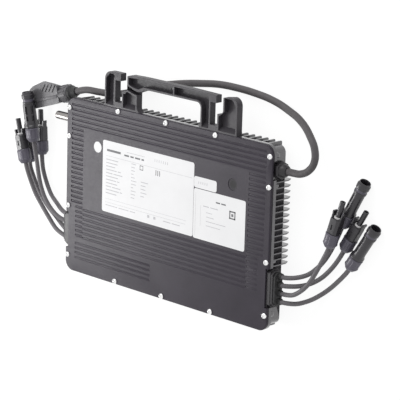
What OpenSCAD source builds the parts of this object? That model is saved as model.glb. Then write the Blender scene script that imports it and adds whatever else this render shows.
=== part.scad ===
// Solar microinverter with a finned cast case, four leads on each side and one mains lead.
// It lies on its fin tips: +Z is out of the cover, +X to the right, +Y towards the bracket.

/* [Case] */
// Width of the case over its flange
case_w = 329; // [323:1:343]
// Height of the case over its flange
case_h = 210; // [206:1:224]
// Corner radius of the flange and the cover
corner_r = 12; // [9:1:15]
// Depth of the cooling fins on the back
fin_depth = 9.5; // [7:0.5:12]
// Depth of the tray from its back to the gasket
tray_depth = 22; // [22:0.5:26]
// Thickness of the flange round the tray
flange_t = 4.5; // [4:0.5:5]
// Thickness of the tray's floor
floor_t = 3; // [2.5:0.25:4]
// Thickness of the tray's walls
wall_t = 3.5; // [3:0.25:4]
// How far the side walls stand in from the flange's edge
side_step = 4; // [3:0.5:5]
// How far the end walls stand in from the flange's edge
end_step = 4; // [3:0.5:5]

/* [Fins] */
// Spacing of the fins and ribs on the sides
side_pitch = 6.7; // [6:0.1:8]
// Spacing of the fins and ribs on the ends
end_pitch = 10; // [8:0.5:12]
// Thickness of a side fin
side_fin_t = 1.4; // [1:0.1:2]
// Thickness of an end fin
end_fin_t = 2; // [1.4:0.1:2.6]
// Width of the channel between the two groups of fins
mitre_gap = 4; // [3:0.5:6]

/* [Cover] */
// Thickness of the cover plate
cover_t = 2.3; // [2:0.1:3]
// Thickness of the gasket
gasket_t = 0.8; // [0.6:0.1:1.2]
// Spacing of the grooves pressed into the cover
groove_pitch = 5.83; // [5.2:0.01:6.4]
// Width of a groove at the surface
groove_w = 3; // [2:0.1:3.6]
// Depth of a groove
groove_depth = 0.8; // [0.5:0.1:1]
// Diameter of a cover screw's head
screw_head_d = 6.8; // [6:0.1:7.4]
// Diameter of a cover screw's shank
screw_d = 3.4; // [3:0.1:4]
// Distance from the flange's edge to the screws of the sides
screw_inset_x = 4; // [3.8:0.1:4.6]
// Distance from the flange's edge to the screws of the ends
screw_inset_y = 3.5; // [3.5:0.1:4.4]

/* [Bracket] */
// Height of the bracket above the case
bracket_h = 42; // [40:0.5:48]
// Depth of the bracket
bracket_d = 8.6; // [8:0.1:10]
// Thickness of the bracket's back plate
plate_t = 2; // [1.6:0.1:2.6]
// Thickness of the bracket's rims
rim_t = 2.2; // [1.6:0.1:2.6]
// Width of a hook slot
slot_w = 10.9; // [9:0.1:12]
// Spacing of the two hook slots
slot_pitch = 152.3; // [148:0.1:156]
// Diameter of the earthing hole
earth_d = 3.2; // [2.6:0.1:4]

/* [Leads] */
// Diameter of a panel lead
lead_d = 5.3; // [4.8:0.1:5.6]
// Spacing of the panel leads at the gland
lead_pitch = 9.5; // [8:0.1:10]
// Diameter of the mains lead
mains_d = 8.3; // [7.5:0.1:8.6]
// Radius of a connector's nut
nut_r = 8.3; // [7.8:0.1:8.3]

/* [Hidden] */
$fn = 48;

// Heights that the stack gives, from the fin tips up
tray_top = fin_depth + tray_depth;
flange_z = tray_top - flange_t;
cover_z = tray_top + gasket_t;
front_z = cover_z + cover_t;
cavity_z = fin_depth + floor_t;
cavity_r = 5;
gasket_in = 0.8;
eps = 0.01;

// Half sizes in the plan
half_w = case_w / 2;
half_h = case_h / 2;
wall_x = half_w - side_step;
wall_y = half_h - end_step;
rib_gap = 0.5;
rib_x = half_w - rib_gap;
rib_y = half_h - rib_gap;
screw_x = half_w - screw_inset_x;
screw_y = half_h - screw_inset_y;
side_screw_ys = [92.5, 58.3, -26, -86.6];
end_screw_xs = [-78, 0, 78];
screw_depth = 9;
screw_places = concat(
    [for (s = [-1, 1], y = side_screw_ys) [s * screw_x, y]],
    [for (s = [-1, 1], x = end_screw_xs) [x, s * screw_y]]
);

// Zones of the side walls, by their place along Y
ribs_top = 69.4;
ribs_low = -31.1;
blade_ys = [91.5, 84];
hidden_fin_in = 18;
hidden_fin_x = half_w - hidden_fin_in;
hidden_fin_y = half_h - hidden_fin_in;
fin_slope = 5;
rib_tip_in = 3;
rib_tip_z = 6.5;
rib_nose_z = 5.5;
screw_boss_r = 3.4;
screw_boss_h = 6.5;

// Panel lead glands
gland_y = -55.5;
gland_len = 44;
gland_z0 = 17.5;
gland_z1 = front_z - 1.6;
gland_in = 4;
gland_gap = 0.2;
gland_bevel = 4;
gland_plates = [5.6, 3, 2.4];
plate_insets = [0, 1.4, 3.6];
gland_x0 = half_w - gland_in;
gland_x1 = gland_x0 + gland_plates[0] + gland_plates[1];
gland_x2 = gland_x1 + gland_plates[2];
collar_r = 3.9;
collar_len = 3.4;
lead_z = 23;
lead_ys = [for (k = [0:3]) gland_y + lead_pitch * (1.5 - k)];
bore_gap = 0.35;
lead_bore_r = lead_d / 2 + bore_gap;
gland_slot_h = 8;
seal_gap = 0.15;

// Mains gland and antenna
ac_y = 76.5;
ac_z = 21;
ac_body_r = 9.6;
ac_pad_t = 1.5;
ac_hex_len = 6;
ac_nut_len = 13;
ac_hex = 17.4;
ac_dome_r = 8.1;
ac_tip_r = 5.4;
ac_bore_r = mains_d / 2 + bore_gap;
ac_thread_r = 5.8;
ac_seal_r = 6.6;
seat_gap = 0.2;
antenna_y = 76;
antenna_z = 21;
antenna_r = 4.9;
antenna_thread_r = 3;
antenna_hex = 14;
antenna_nut_len = 3;
antenna_len = 32;
side_notch_l = 21;

// Bracket
bracket_front = front_z - 0.4;
bracket_back = bracket_front - bracket_d;
bracket_y = half_h;
bracket_top = bracket_y + bracket_h;
slot_x = -83.8;
slot_floor_y = bracket_y + 7;
nib_y = bracket_y + 32.2;
ledge_y = bracket_y + 20.6;
nib_len = 8.9;
bar_offset = 19.4;
post_w = 17.7;
window_x0 = -48;
window_x1 = 53.5;
window_top = bracket_y + 28.7;
window_r = 6;
foot_r = 6;
post_r = 9;
tab_t = 2;
tab_w = 24;
tab_len = 7.5;
tab_z = tray_top - tab_t - 0.2;
earth_x = 2.3;
earth_y = bracket_y + 35.1;
bar_rib_x = 9.6;

// Labels
label_t = 0.25;
rating_x = [-102, 47.3];
rating_y = [-20.7, 64.4];
serial_x = [47.6, 82.6];
serial_y = [38, 49.9];
code_x = [47.6, 127.5];
code_y = [-21.2, 36];
sticker_at = [-111, 53.6];
sticker_r = 6.5;

// Inner pieces
board_t = 1.6;
board_z = cavity_z + 4;
board_top = board_z + board_t;
board_w = case_w - 2 * (side_step + wall_t) - 12;
board_h = case_h - 2 * (end_step + wall_t) - 14;
pillar_r = 4;

// Connectors, measured from the lead's end of the nut towards the mating end
nut_len = 17;
stub_r = 5.2;
thread_gap = 0.2;
stub_x = 7;
male_body_x = 35;
male_len = 55;
barrel_r = 3.1;
female_len = 61;
female_bore_r = 5.2;
female_bore_len = 24;
female_r = 6.4;
collar_out_r = 7.75;
ring_t = 2;
ring_gap = 0.05;
floor_conn_z = 8.4;

// Place of each connector: lead's end, height there, turn in the plan and tilt
place_right_1 = [[244.4, 28.3, floor_conn_z], 61.5, 0];
place_right_2 = [[249, 3, floor_conn_z], 59.6, 0];
place_right_3 = [[240.7, 7.6, 24.2], 72.4, 0];
place_right_4 = [[257.4, -15.7, floor_conn_z], 56.9, 0];
place_left_1 = [[-250, 7.1, 24.1], 106.2, 0];
place_left_2 = [[-259.9, 4.9, floor_conn_z], 91, 0];
place_left_3 = [[-233.2, 37.2, 26.5], 97.4, 4.2];
place_left_4 = [[-238.4, 17.8, floor_conn_z], 93.6, 0];

// Mains plug: middle of its cable end, and its turn
plug_place = [-196, 99.5, 12];
plug_turn = 17.5;
plug_z0 = 1;
plug_top = 22;
plug_nut_len = 13;
boot_len = 24;
boot_r = 6.6;

// Routes of the leads, from the case to their connectors
lead_route_right_1 = [[171, -41.25, 23], [178, -41.25, 23], [190, -39.5, 19], [202.6, -34, 11],
    [216, -20, 6], [227, -4.5, 6], [236.5, 11, 8], [243, 24.5, 8.4], [246.8, 32.7, 8.4]];
lead_route_right_2 = [[171, -50.75, 23], [178, -50.75, 23], [191, -49.5, 16], [203.5, -45, 9],
    [216, -36, 5], [228, -23.6, 4], [238.5, -11.5, 6], [246.4, -1.4, 8.4], [251.5, 7.3, 8.4]];
lead_route_right_3 = [[171, -60.25, 23], [178, -60.25, 23], [191, -58, 23], [204, -49.5, 23],
    [215, -38, 23.5], [225, -22.5, 24], [234, -7, 24.2], [239.5, 3.8, 24.2], [242.2, 12.4, 24.2]];
lead_route_right_4 = [[171, -69.75, 23], [178, -69.75, 23], [191, -69.4, 16], [206, -62.5, 8],
    [223, -49.5, 3.5], [241, -33.5, 5.5], [254.8, -19.7, 8.4], [260.1, -11.5, 8.4]];
lead_route_left_1 = [[-171, -69.75, 23], [-178, -69.75, 23], [-196, -65, 21.5], [-213, -55.5, 18],
    [-229, -43, 16], [-240, -29.5, 17], [-246.5, -11.5, 20.5], [-248.6, 2.3, 24.1], [-251.3, 11.7, 24.1]];
lead_route_left_2 = [[-171, -60.25, 23], [-178, -60.25, 23], [-192, -58.5, 17], [-210, -54, 10],
    [-229, -46, 6], [-246, -33, 4], [-256, -14, 6], [-259.8, 0, 8.4], [-260, 9.9, 8.4]];
lead_route_left_3 = [[-171, -50.75, 23], [-178, -50.75, 23], [-190, -48, 24], [-203, -41, 24],
    [-215.5, -27.5, 24.5], [-223.5, -9, 25], [-228.5, 12, 25], [-232.5, 32, 26.1], [-233.8, 42.2, 26.9]];
lead_route_left_4 = [[-171, -41.25, 23], [-178, -41.25, 23], [-190, -40, 19], [-206, -36, 12.5],
    [-222, -30, 7], [-234, -18, 4], [-238.5, -2, 6], [-238.1, 12.8, 8.4], [-238.7, 22.8, 8.4]];
mains_route = [[172, 76.5, 21], [183, 76.5, 21], [195, 78, 22], [206, 84, 22], [213, 94.5, 22],
    [212, 107, 21], [202, 119, 17.5], [183, 131, 11], [159.5, 139, 6], [136, 145.5, 4.3],
    [108, 149.5, 4.3], [80, 151, 4.3], [52, 150.5, 4.3], [24, 147, 4.3], [-4, 142.5, 4.3],
    [-30, 137, 4.3], [-52, 132, 4.6], [-71, 125, 6.5], [-91, 118, 9.5], [-112, 113.8, 11.5],
    [-134, 112.4, 12.5], [-156, 111.4, 12.8], [-172, 107.1, 12], [-184.6, 103.1, 12]];

function unit(v) = v / norm(v);
function arc(cx, cy, r, a0, a1, n) =
    [for (i = [0:n]) [cx + r * cos(a0 + (a1 - a0) * i / n), cy + r * sin(a0 + (a1 - a0) * i / n)]];

// Direction of a route at one of its points
function heading(route, i) =
    i == 0 ? unit(route[1] - route[0]) :
    i == len(route) - 1 ? unit(route[i] - route[i - 1]) :
    unit(unit(route[i + 1] - route[i]) + unit(route[i] - route[i - 1]));

// Points of one ring of a lead, square to its direction
function ring_points(route, i, r, sides) =
    let (t = heading(route, i), side = unit(cross(t, [0, 0, 1])), up = cross(side, t))
    [for (k = [0:sides - 1]) route[i] + r * (side * cos(360 * k / sides) + up * sin(360 * k / sides))];

module tube(route, d, sides) {
    n = len(route);
    points = [for (i = [0:n - 1]) each ring_points(route, i, d / 2, sides)];
    walls = [for (i = [0:n - 2], k = [0:sides - 1])
        let (a = i * sides + k, b = i * sides + (k + 1) % sides)
        each [[a, b, b + sides], [a, b + sides, a + sides]]];
    first = [for (k = [1:sides - 2]) [0, k + 1, k]];
    last_ring = (n - 1) * sides;
    last = [for (k = [1:sides - 2]) [last_ring, last_ring + k, last_ring + k + 1]];
    polyhedron(points, concat(walls, first, last));
}

module rounded_rect(w, h, r) {
    square([w - 2 * r, h], center = true);
    square([w, h - 2 * r], center = true);
    for (x = [-1, 1], y = [-1, 1]) {
        translate([x * (w / 2 - r), y * (h / 2 - r)]) circle(r);
    }
}

module rounded_slab(w, h, r, z0, z1) {
    translate([0, 0, z0]) linear_extrude(z1 - z0) rounded_rect(w, h, r);
}

// A box given by its lowest and highest corners
module block(a, b) {
    translate(a) cube(b - a);
}

// A solid of revolution about +X, from points of place along X and radius
module turned(points) {
    rotate([0, 90, 0]) rotate_extrude() polygon([for (p = points) [p[1], p[0]]]);
}

// A cylinder along +X from x0 to x1
module rod_x(r, x0, x1) {
    translate([x0, 0, 0]) rotate([0, 90, 0]) cylinder(h = x1 - x0, r = r);
}

// A hexagonal bar along +X, with flats this far apart
module hex_x(flats, x0, x1) {
    translate([x0, 0, 0]) rotate([0, 90, 0]) cylinder(h = x1 - x0, r = flats / sqrt(3), $fn = 6);
}

// Heatsink base: finned tray with a flange
function side_fin_start(y) = max(0, half_w - half_h) + abs(y) + mitre_gap / 2;
function end_fin_start(x) = max(0, abs(x) - (half_w - half_h) + mitre_gap / 2);

// Section of a side fin, in X and Z: ribs up to the flange, blades beside the glands, or a fin under the tray
function side_fin_section(y) =
    let (x0 = side_fin_start(y))
    y <= ribs_top + eps && y >= ribs_low - eps ?
        [[x0, fin_depth + eps], [x0, 0], [rib_x - rib_tip_in, 0], [rib_x, rib_tip_z],
            [rib_x, flange_z + eps], [wall_x - eps, flange_z + eps], [wall_x - eps, fin_depth + eps]] :
    len(search(y, blade_ys)) > 0 ?
        [[wall_x - fin_slope, fin_depth + eps], [rib_x - rib_tip_in, rib_nose_z], [rib_x, fin_depth],
            [rib_x, flange_z + eps], [wall_x - eps, flange_z + eps], [wall_x - eps, fin_depth + eps]] :
        [[x0, fin_depth + eps], [x0, 0], [hidden_fin_x, 0], [hidden_fin_x + fin_slope, fin_depth + eps]];

side_fin_count = floor((ribs_top + half_h - 8) / side_pitch);
side_fin_ys = concat([for (k = [0:side_fin_count]) ribs_top - k * side_pitch], [ac_y], blade_ys);

module side_fins() {
    for (side = [0, 1], y = side_fin_ys) {
        if (side_fin_start(y) < hidden_fin_x - 3) {
            mirror([side, 0, 0]) translate([0, y + side_fin_t / 2, 0]) rotate([90, 0, 0])
                linear_extrude(side_fin_t) polygon(side_fin_section(y));
        }
    }
}

end_fin_count = floor((half_w - 14) / end_pitch);

// Rib of an end wall, in Y and Z, with a nose just under the tray
end_rib_section = [[wall_y - fin_slope, fin_depth + eps], [rib_y - fin_slope, rib_nose_z], [rib_y - 1, rib_nose_z],
    [rib_y, rib_tip_z], [rib_y, flange_z + eps], [wall_y - eps, flange_z + eps], [wall_y - eps, fin_depth + eps]];

module end_fins() {
    for (end = [0, 1], k = [-end_fin_count:end_fin_count]) {
        y0 = end_fin_start(k * end_pitch);
        mirror([0, end, 0]) translate([k * end_pitch - end_fin_t / 2, 0, 0]) rotate([90, 0, 90])
            linear_extrude(end_fin_t) {
                polygon(end_rib_section);
                if (y0 < hidden_fin_y - 3) {
                    polygon([[y0, fin_depth + eps], [y0, 0], [hidden_fin_y, 0], [hidden_fin_y + fin_slope, fin_depth + eps]]);
                }
            }
    }
}

// Boss under the flange round a side screw, with a domed end
module screw_boss(p) {
    translate([p[0], p[1], flange_z - screw_boss_h + screw_boss_r]) {
        cylinder(h = screw_boss_h - screw_boss_r + eps, r = screw_boss_r);
        sphere(screw_boss_r);
    }
}

module gland_outline(inset) {
    h = gland_z1 - gland_z0;
    l = gland_len / 2 - inset;
    t = h / 2 - inset * 0.4;
    b = gland_bevel;
    polygon([[-l + b, -t], [l - b, -t], [l, -t + b], [l, t - b], [l - b, t], [-l + b, t], [-l, t - b], [-l, -t + b]]);
}

// Stands a plan drawn as Y and Z up, square to +X, at the gland's middle
module at_gland(x0, t) {
    translate([x0, gland_y, (gland_z0 + gland_z1) / 2]) rotate([90, 0, 90]) linear_extrude(t) children();
}

// Slot with round ends that the seal fills, along +X from x0 to x1
module gland_slot(x0, x1, clear) {
    r = gland_slot_h / 2 - clear;
    reach = lead_pitch * 1.5;
    translate([x0, gland_y, lead_z]) rotate([90, 0, 90]) linear_extrude(x1 - x0) {
        square([2 * reach, 2 * r], center = true);
        translate([-reach, 0]) circle(r);
        translate([reach, 0]) circle(r);
    }
}

module heatsink_base() {
    color([0.31, 0.31, 0.32]) difference() {
        union() {
            rounded_slab(case_w, case_h, corner_r, flange_z, tray_top);
            rounded_slab(2 * wall_x, 2 * wall_y, corner_r - side_step, fin_depth, flange_z + eps);
            side_fins();
            end_fins();
            for (p = screw_places) {
                if (abs(p[0]) == screw_x) {
                    screw_boss(p);
                }
            }
        }
        difference() {
            rounded_slab(2 * (wall_x - wall_t), 2 * (wall_y - wall_t), cavity_r, cavity_z, tray_top + 1);
            for (p = screw_places) {
                translate([p[0], p[1], 0]) cylinder(h = tray_top + 2, r = pillar_r);
            }
            for (x = [-1, 0, 1], y = [-1, 1]) {
                translate([x * (board_w / 2 - 8), y * (board_h / 2 - 12), 0]) cylinder(h = board_z, r = pillar_r);
            }
        }
        for (p = screw_places) {
            translate([p[0], p[1], tray_top - screw_depth]) cylinder(h = screw_depth + 1, r = screw_d / 2 + 0.1);
        }
        for (side = [0, 1]) {
            mirror([side, 0, 0]) {
                block([gland_x0, gland_y - gland_len / 2 - gland_gap, gland_z0 - gland_gap],
                    [half_w + 1, gland_y + gland_len / 2 + gland_gap, tray_top + 1]);
                gland_slot(wall_x - wall_t - 1, half_w, 0);
                block([wall_x, ac_y - side_notch_l / 2, fin_depth + 1],
                    [half_w + 1, ac_y + side_notch_l / 2, tray_top + 1]);
            }
        }
        translate([0, ac_y, ac_z]) rod_x(ac_thread_r + seat_gap, wall_x - wall_t - 3, wall_x + 1);
        translate([0, antenna_y, antenna_z]) rod_x(antenna_thread_r + seat_gap, -wall_x - 1, -wall_x + wall_t + 1);
        for (x = [end_screw_xs[0], end_screw_xs[2]]) {
            block([x - tab_w / 2 - 0.2, half_h - tab_len - 0.2, tab_z], [x + tab_w / 2 + 0.2, half_h + 1, tray_top + 1]);
        }
    }
}

// Gasket between the flange and the cover
module cover_gasket() {
    color([0.12, 0.12, 0.12]) difference() {
        rounded_slab(case_w - 2 * gasket_in, case_h - 2 * gasket_in, corner_r - gasket_in, tray_top, cover_z);
        rounded_slab(2 * (wall_x - wall_t - 2), 2 * (wall_y - wall_t - 2), cavity_r, tray_top - 1, cover_z + 1);
        for (p = screw_places) {
            translate([p[0], p[1], tray_top - 1]) cylinder(h = gasket_t + 2, r = screw_d / 2 + 0.3);
        }
        for (side = [-1, 1]) {
            translate([side * (gland_x0 + 5 - gland_gap), gland_y, cover_z])
                cube([10, gland_len + 2 * gland_gap, 4], center = true);
        }
    }
}

// Cover plate with pressed grooves
groove_top = half_h - 7.6;
full_grooves = 5;
column_grooves = 27;
column_left = -136;
column_right = 131;
groove_end = half_w - 8.5;
low_groove_end = half_w - 16.5;
band_y = -26.8;
narrow_below_y = -24;
band_grooves = 7;
band_pitch = 5.73;
corner_band_y = -69.8;
corner_grooves = 4;
corner_band_end = -20;
dimple_at = [106.7, 51.1];
dimple_r = 7;
dot_at = [143.3, -38.2];
dot_r = 1.5;

module groove(x0, x1, y) {
    translate([x0, y, front_z]) rotate([90, 0, 90]) linear_extrude(x1 - x0)
        polygon([[-groove_w / 2, 0.1], [-groove_w / 2, 0], [-groove_w / 6, -groove_depth],
            [groove_w / 6, -groove_depth], [groove_w / 2, 0], [groove_w / 2, 0.1]]);
}

module grooves() {
    for (k = [0:full_grooves - 1]) {
        groove(-groove_end, groove_end, groove_top - k * groove_pitch);
    }
    for (k = [full_grooves:column_grooves]) {
        y = groove_top - k * groove_pitch;
        reach = y < narrow_below_y ? low_groove_end : groove_end;
        groove(-reach, column_left, y);
        groove(column_right, reach, y);
    }
    for (k = [0:band_grooves - 1]) {
        groove(column_left + 1, column_right - 1, band_y - k * band_pitch);
    }
    for (k = [0:corner_grooves - 1]) {
        groove(-low_groove_end, corner_band_end, corner_band_y - k * groove_pitch);
    }
}

module cover_plate() {
    color([0.31, 0.31, 0.33]) difference() {
        union() {
            rounded_slab(case_w, case_h, corner_r, cover_z, front_z - 0.5);
            rounded_slab(case_w - 1, case_h - 1, corner_r - 0.5, front_z - 0.5 - eps, front_z);
        }
        for (p = screw_places) {
            translate([p[0], p[1], cover_z - 1]) cylinder(h = cover_t + 2, r = screw_d / 2 + 0.3);
        }
        for (side = [-1, 1]) {
            translate([side * (gland_x0 + 5 - gland_gap), gland_y, cover_z])
                cube([10, gland_len + 2 * gland_gap, 8], center = true);
        }
        grooves();
        translate([dimple_at[0], dimple_at[1], front_z - 0.5]) cylinder(h = 1, r = dimple_r);
        translate([dot_at[0], dot_at[1], front_z - 0.4]) cylinder(h = 1, r = dot_r);
    }
}

// Dome-headed screws of the cover
module cover_screws() {
    color([0.85, 0.85, 0.85]) for (p = screw_places) {
        translate([p[0], p[1], front_z]) difference() {
            union() {
                rotate_extrude() polygon(concat([[0, 0]],
                    [for (a = [0:15:75]) [screw_head_d / 2 * cos(a), 2.4 * sin(a)]], [[0, 2.4]]));
                translate([0, 0, -cover_t - gasket_t - 8]) cylinder(h = cover_t + gasket_t + 8 + eps, r = screw_d / 2);
            }
            translate([0, 0, 1]) cylinder(h = 3, r = 1.5, $fn = 6);
        }
    }
}

// Mounting bracket: one moulded channel with two hook slots
function hook_edge(x0) = concat(
    [[x0 + nib_len, bracket_top - 1], [x0 + nib_len, nib_y], [x0, nib_y], [x0, slot_floor_y],
        [x0 + slot_w, slot_floor_y], [x0 + slot_w, ledge_y], [x0 + slot_w + 3.5, ledge_y]],
    arc(x0 + bar_offset - 5, ledge_y + 5, 5, -80, 0, 5),
    [[x0 + bar_offset, bracket_top - 2]]);

hook_x2 = slot_x + slot_pitch;
post_x0 = slot_x - post_w;
post_x1 = hook_x2 + bar_offset + 21.6;
bar_low = [[-36, window_top], [-39.6, window_top - 2.8], [-44, window_top - 4], [window_x0, window_top - 4.4]];

bracket_edge = concat(
    [[post_x0, bracket_y]],
    arc(post_x0 + post_r, bracket_top - 1 - post_r, post_r, 180, 90, 6),
    hook_edge(slot_x),
    [[slot_x + bar_offset + 5, bracket_top - 0.6], [-40, bracket_top], [30, bracket_top]],
    hook_edge(hook_x2),
    arc(post_x1 - post_r, bracket_top - post_r, post_r, 90, 0, 6),
    [[post_x1, bracket_y]],
    arc(window_x1 - foot_r, bracket_y + foot_r, foot_r, -90, 0, 5),
    arc(window_x1 - window_r, window_top - window_r, window_r, 0, 90, 6),
    bar_low,
    arc(window_x0 + foot_r, bracket_y + foot_r, foot_r, 180, 270, 5));

// Upper edge of the hump beside the left slot, an S from the ledge to the window
hump_top = [[slot_x + slot_w, ledge_y], [-67.8, ledge_y], [-66, ledge_y + 2.6], [-64.2, ledge_y + 3.2],
    [-60.9, ledge_y + 2.5], [-57.5, ledge_y + 1.4], [-54.2, ledge_y + 0.4], [-50.9, ledge_y - 0.1], [window_x0, ledge_y - 0.4]];

module pocket(points) {
    translate([0, 0, bracket_back + plate_t]) linear_extrude(bracket_d) polygon(points);
}

// Sloping foot at the bottom of a pocket
module foot_ramp(x0, x1) {
    translate([x0, bracket_y, bracket_back]) rotate([90, 0, 90]) linear_extrude(x1 - x0)
        polygon([[0, 0], [6.5, 0], [6.5, plate_t], [2, bracket_d], [0, bracket_d]]);
}

module bracket_pockets() {
    low = bracket_y + rim_t;
    high = bracket_top - rim_t;
    pocket([[post_x0 + rim_t, low], [slot_x - 3, low], [slot_x - 3, nib_y], [slot_x - 1, high - 3],
        [slot_x - 4, high - 1], [post_x0 + 8, high - 1], [post_x0 + rim_t, high - 7]]);
    pocket(concat([[window_x0 - rim_t, low], [slot_x + slot_w + rim_t, low], [slot_x + slot_w + rim_t, ledge_y - rim_t]],
        [for (p = [for (i = [1:len(hump_top) - 1]) hump_top[i]]) [min(p[0], window_x0 - rim_t), p[1] - rim_t]]));
    pocket(concat([for (i = [3:len(hump_top) - 1]) hump_top[i]],
        [[window_x0 + 0.6, window_top - 4.4 - 0.2], [window_x0 - 2, window_top - 4], [-54.4, window_top - 2.9],
            [-61, window_top - 0.8], [slot_x + bar_offset + 0.2, window_top + 0.5]]));
    pocket([[slot_x + bar_offset + rim_t, window_top + 1.8], [-54, window_top - 0.6], [-46, window_top - 1.4],
        [-38, window_top + rim_t], [bar_rib_x, window_top + rim_t], [bar_rib_x, high], [-40, high],
        [slot_x + bar_offset + rim_t, high - 1.4]]);
    pocket(concat([[bar_rib_x + rim_t, window_top + rim_t]],
        arc(window_x1 - window_r, window_top - window_r, window_r + rim_t, 90, 0, 6),
        [[window_x1 + rim_t, low], [hook_x2 - rim_t, low], [hook_x2 - rim_t, nib_y], [hook_x2 - 3, high],
            [bar_rib_x + rim_t, high]]));
    pocket([[hook_x2 + slot_w + rim_t, low], [post_x1 - rim_t, low], [post_x1 - rim_t, high - 7],
        [post_x1 - 8, high], [hook_x2 + bar_offset + rim_t, high], [hook_x2 + bar_offset + rim_t, ledge_y + 4],
        [hook_x2 + slot_w + rim_t + 1, ledge_y - rim_t], [hook_x2 + slot_w + rim_t, ledge_y - rim_t]]);
}

module mounting_bracket() {
    color([0.29, 0.29, 0.3]) difference() {
        union() {
            difference() {
                translate([0, 0, bracket_back]) linear_extrude(bracket_d) polygon(bracket_edge);
                bracket_pockets();
            }
            foot_ramp(post_x0 + 0.1, slot_x - 1);
            foot_ramp(slot_x + slot_w + 0.1, window_x0 - 0.1);
            foot_ramp(window_x1 + 0.1, hook_x2 - 0.1);
            foot_ramp(hook_x2 + slot_w + 0.1, post_x1 - 0.1);
            for (x = [end_screw_xs[0], end_screw_xs[2]]) {
                block([x - tab_w / 2, half_h - tab_len, tab_z], [x + tab_w / 2, half_h + 1, tab_z + tab_t]);
            }
        }
        for (x = [end_screw_xs[0], end_screw_xs[2]]) {
            translate([x, screw_y, tab_z - 1]) cylinder(h = tab_t + 2, r = screw_d / 2 + 0.3);
        }
        translate([earth_x, earth_y, bracket_back - 1]) cylinder(h = bracket_d + 2, r = earth_d / 2);
    }
}

// Panel lead gland: frame of stacked plates round a rubber seal
module dc_gland_frame() {
    color([0.2, 0.2, 0.21]) difference() {
        union() {
            at_gland(gland_x0, gland_plates[0]) gland_outline(plate_insets[0]);
            at_gland(gland_x0 + gland_plates[0] - eps, gland_plates[1] + eps) gland_outline(plate_insets[1]);
        }
        gland_slot(gland_x0 - 1, gland_x1 + 1, 0);
    }
}

module dc_gland_seal() {
    color([0.14, 0.14, 0.14]) difference() {
        union() {
            gland_slot(wall_x - wall_t, gland_x1 + eps, seal_gap);
            at_gland(gland_x1, gland_plates[2]) gland_outline(plate_insets[2]);
            for (y = lead_ys) {
                translate([0, y, lead_z]) turned([[gland_x2 - eps, 0], [gland_x2 - eps, collar_r],
                    [gland_x2 + collar_len - 0.6, collar_r - 0.3], [gland_x2 + collar_len, collar_r - 0.7],
                    [gland_x2 + collar_len, 0]]);
            }
        }
        for (y = lead_ys) {
            translate([0, y, lead_z]) rod_x(lead_bore_r, wall_x - wall_t - 1, gland_x2 + collar_len + 1);
        }
    }
}

module dc_gland_frame_right() { dc_gland_frame(); }
module dc_gland_frame_left() { mirror([1, 0, 0]) dc_gland_frame(); }
module dc_gland_seal_right() { dc_gland_seal(); }
module dc_gland_seal_left() { mirror([1, 0, 0]) dc_gland_seal(); }

// Mains gland: threaded body with a pad, and a hexagonal nut with a domed end
module ac_gland_body() {
    color([0.16, 0.16, 0.17]) translate([0, ac_y, ac_z]) difference() {
        union() {
            rod_x(ac_thread_r, wall_x - wall_t - 2, wall_x + eps);
            rod_x(ac_body_r, wall_x, wall_x + ac_pad_t);
            rod_x(ac_seal_r, wall_x + 1, wall_x + ac_pad_t + ac_hex_len);
        }
        rod_x(ac_bore_r, wall_x - wall_t - 3, wall_x + ac_pad_t + ac_hex_len + 1);
    }
}

module ac_gland_nut() {
    x0 = wall_x + ac_pad_t;
    x1 = x0 + ac_hex_len;
    x2 = x0 + ac_nut_len;
    color([0.2, 0.2, 0.21]) translate([0, ac_y, ac_z]) difference() {
        union() {
            intersection() {
                hex_x(ac_hex, x0, x1);
                turned([[x0, 0], [x0, ac_body_r - 0.4], [x0 + 0.6, ac_body_r], [x1 - 0.6, ac_body_r], [x1, ac_body_r - 0.6], [x1, 0]]);
            }
            turned([[x1 - eps, 0], [x1 - eps, ac_dome_r], [x1 + 2.5, ac_dome_r - 0.2], [x2 - 2, ac_dome_r - 1.3],
                [x2 - 0.5, ac_tip_r + 0.6], [x2, ac_tip_r], [x2, 0]]);
        }
        rod_x(ac_seal_r + seat_gap, x0 - 1, x1 + seat_gap);
        rod_x(ac_bore_r, x0, x2 + 1);
    }
}

// Antenna sleeve with its nut on the left side
module antenna_sleeve() {
    end = -half_w - antenna_len;
    seat = -wall_x - antenna_nut_len;
    color([0.62, 0.6, 0.58]) translate([0, antenna_y, antenna_z]) {
        turned([[end, 0], [end, antenna_r - 0.7], [end + 0.7, antenna_r], [seat, antenna_r], [seat, antenna_thread_r],
            [-wall_x + wall_t + 2, antenna_thread_r], [-wall_x + wall_t + 2, 0]]);
    }
}

module antenna_nut() {
    color([0.55, 0.54, 0.52]) translate([0, antenna_y, antenna_z]) difference() {
        hex_x(antenna_hex, -wall_x - antenna_nut_len, -wall_x);
        rod_x(antenna_thread_r + 0.1, -wall_x - antenna_nut_len - 1, -wall_x + 1);
    }
}

// Labels on the cover's smooth field
module label(x, y) {
    color([0.93, 0.93, 0.93]) block([x[0], y[0], front_z], [x[1], y[1], front_z + label_t]);
}

module rating_label() { label(rating_x, rating_y); }
module serial_label() { label(serial_x, serial_y); }
module code_label() { label(code_x, code_y); }
module round_sticker() {
    color([0.93, 0.93, 0.93]) translate([sticker_at[0], sticker_at[1], front_z]) cylinder(h = label_t, r = sticker_r);
}

// Inner pieces
module circuit_board() {
    color([0.1, 0.35, 0.2]) block([-board_w / 2, -board_h / 2, board_z], [board_w / 2, board_h / 2, board_top]);
}

// Places of the transformers, shared with their thermal pads
transformer_pitch = board_w / 5;
transformer_y = -board_h / 5;
transformer_xs = [for (k = [0:3]) (k - 1.5) * transformer_pitch];
core_w = 30;
core_l = 26;
core_h = 11;
flange_h = 2.5;
winding_w = 24;
winding_l = 17;

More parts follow.
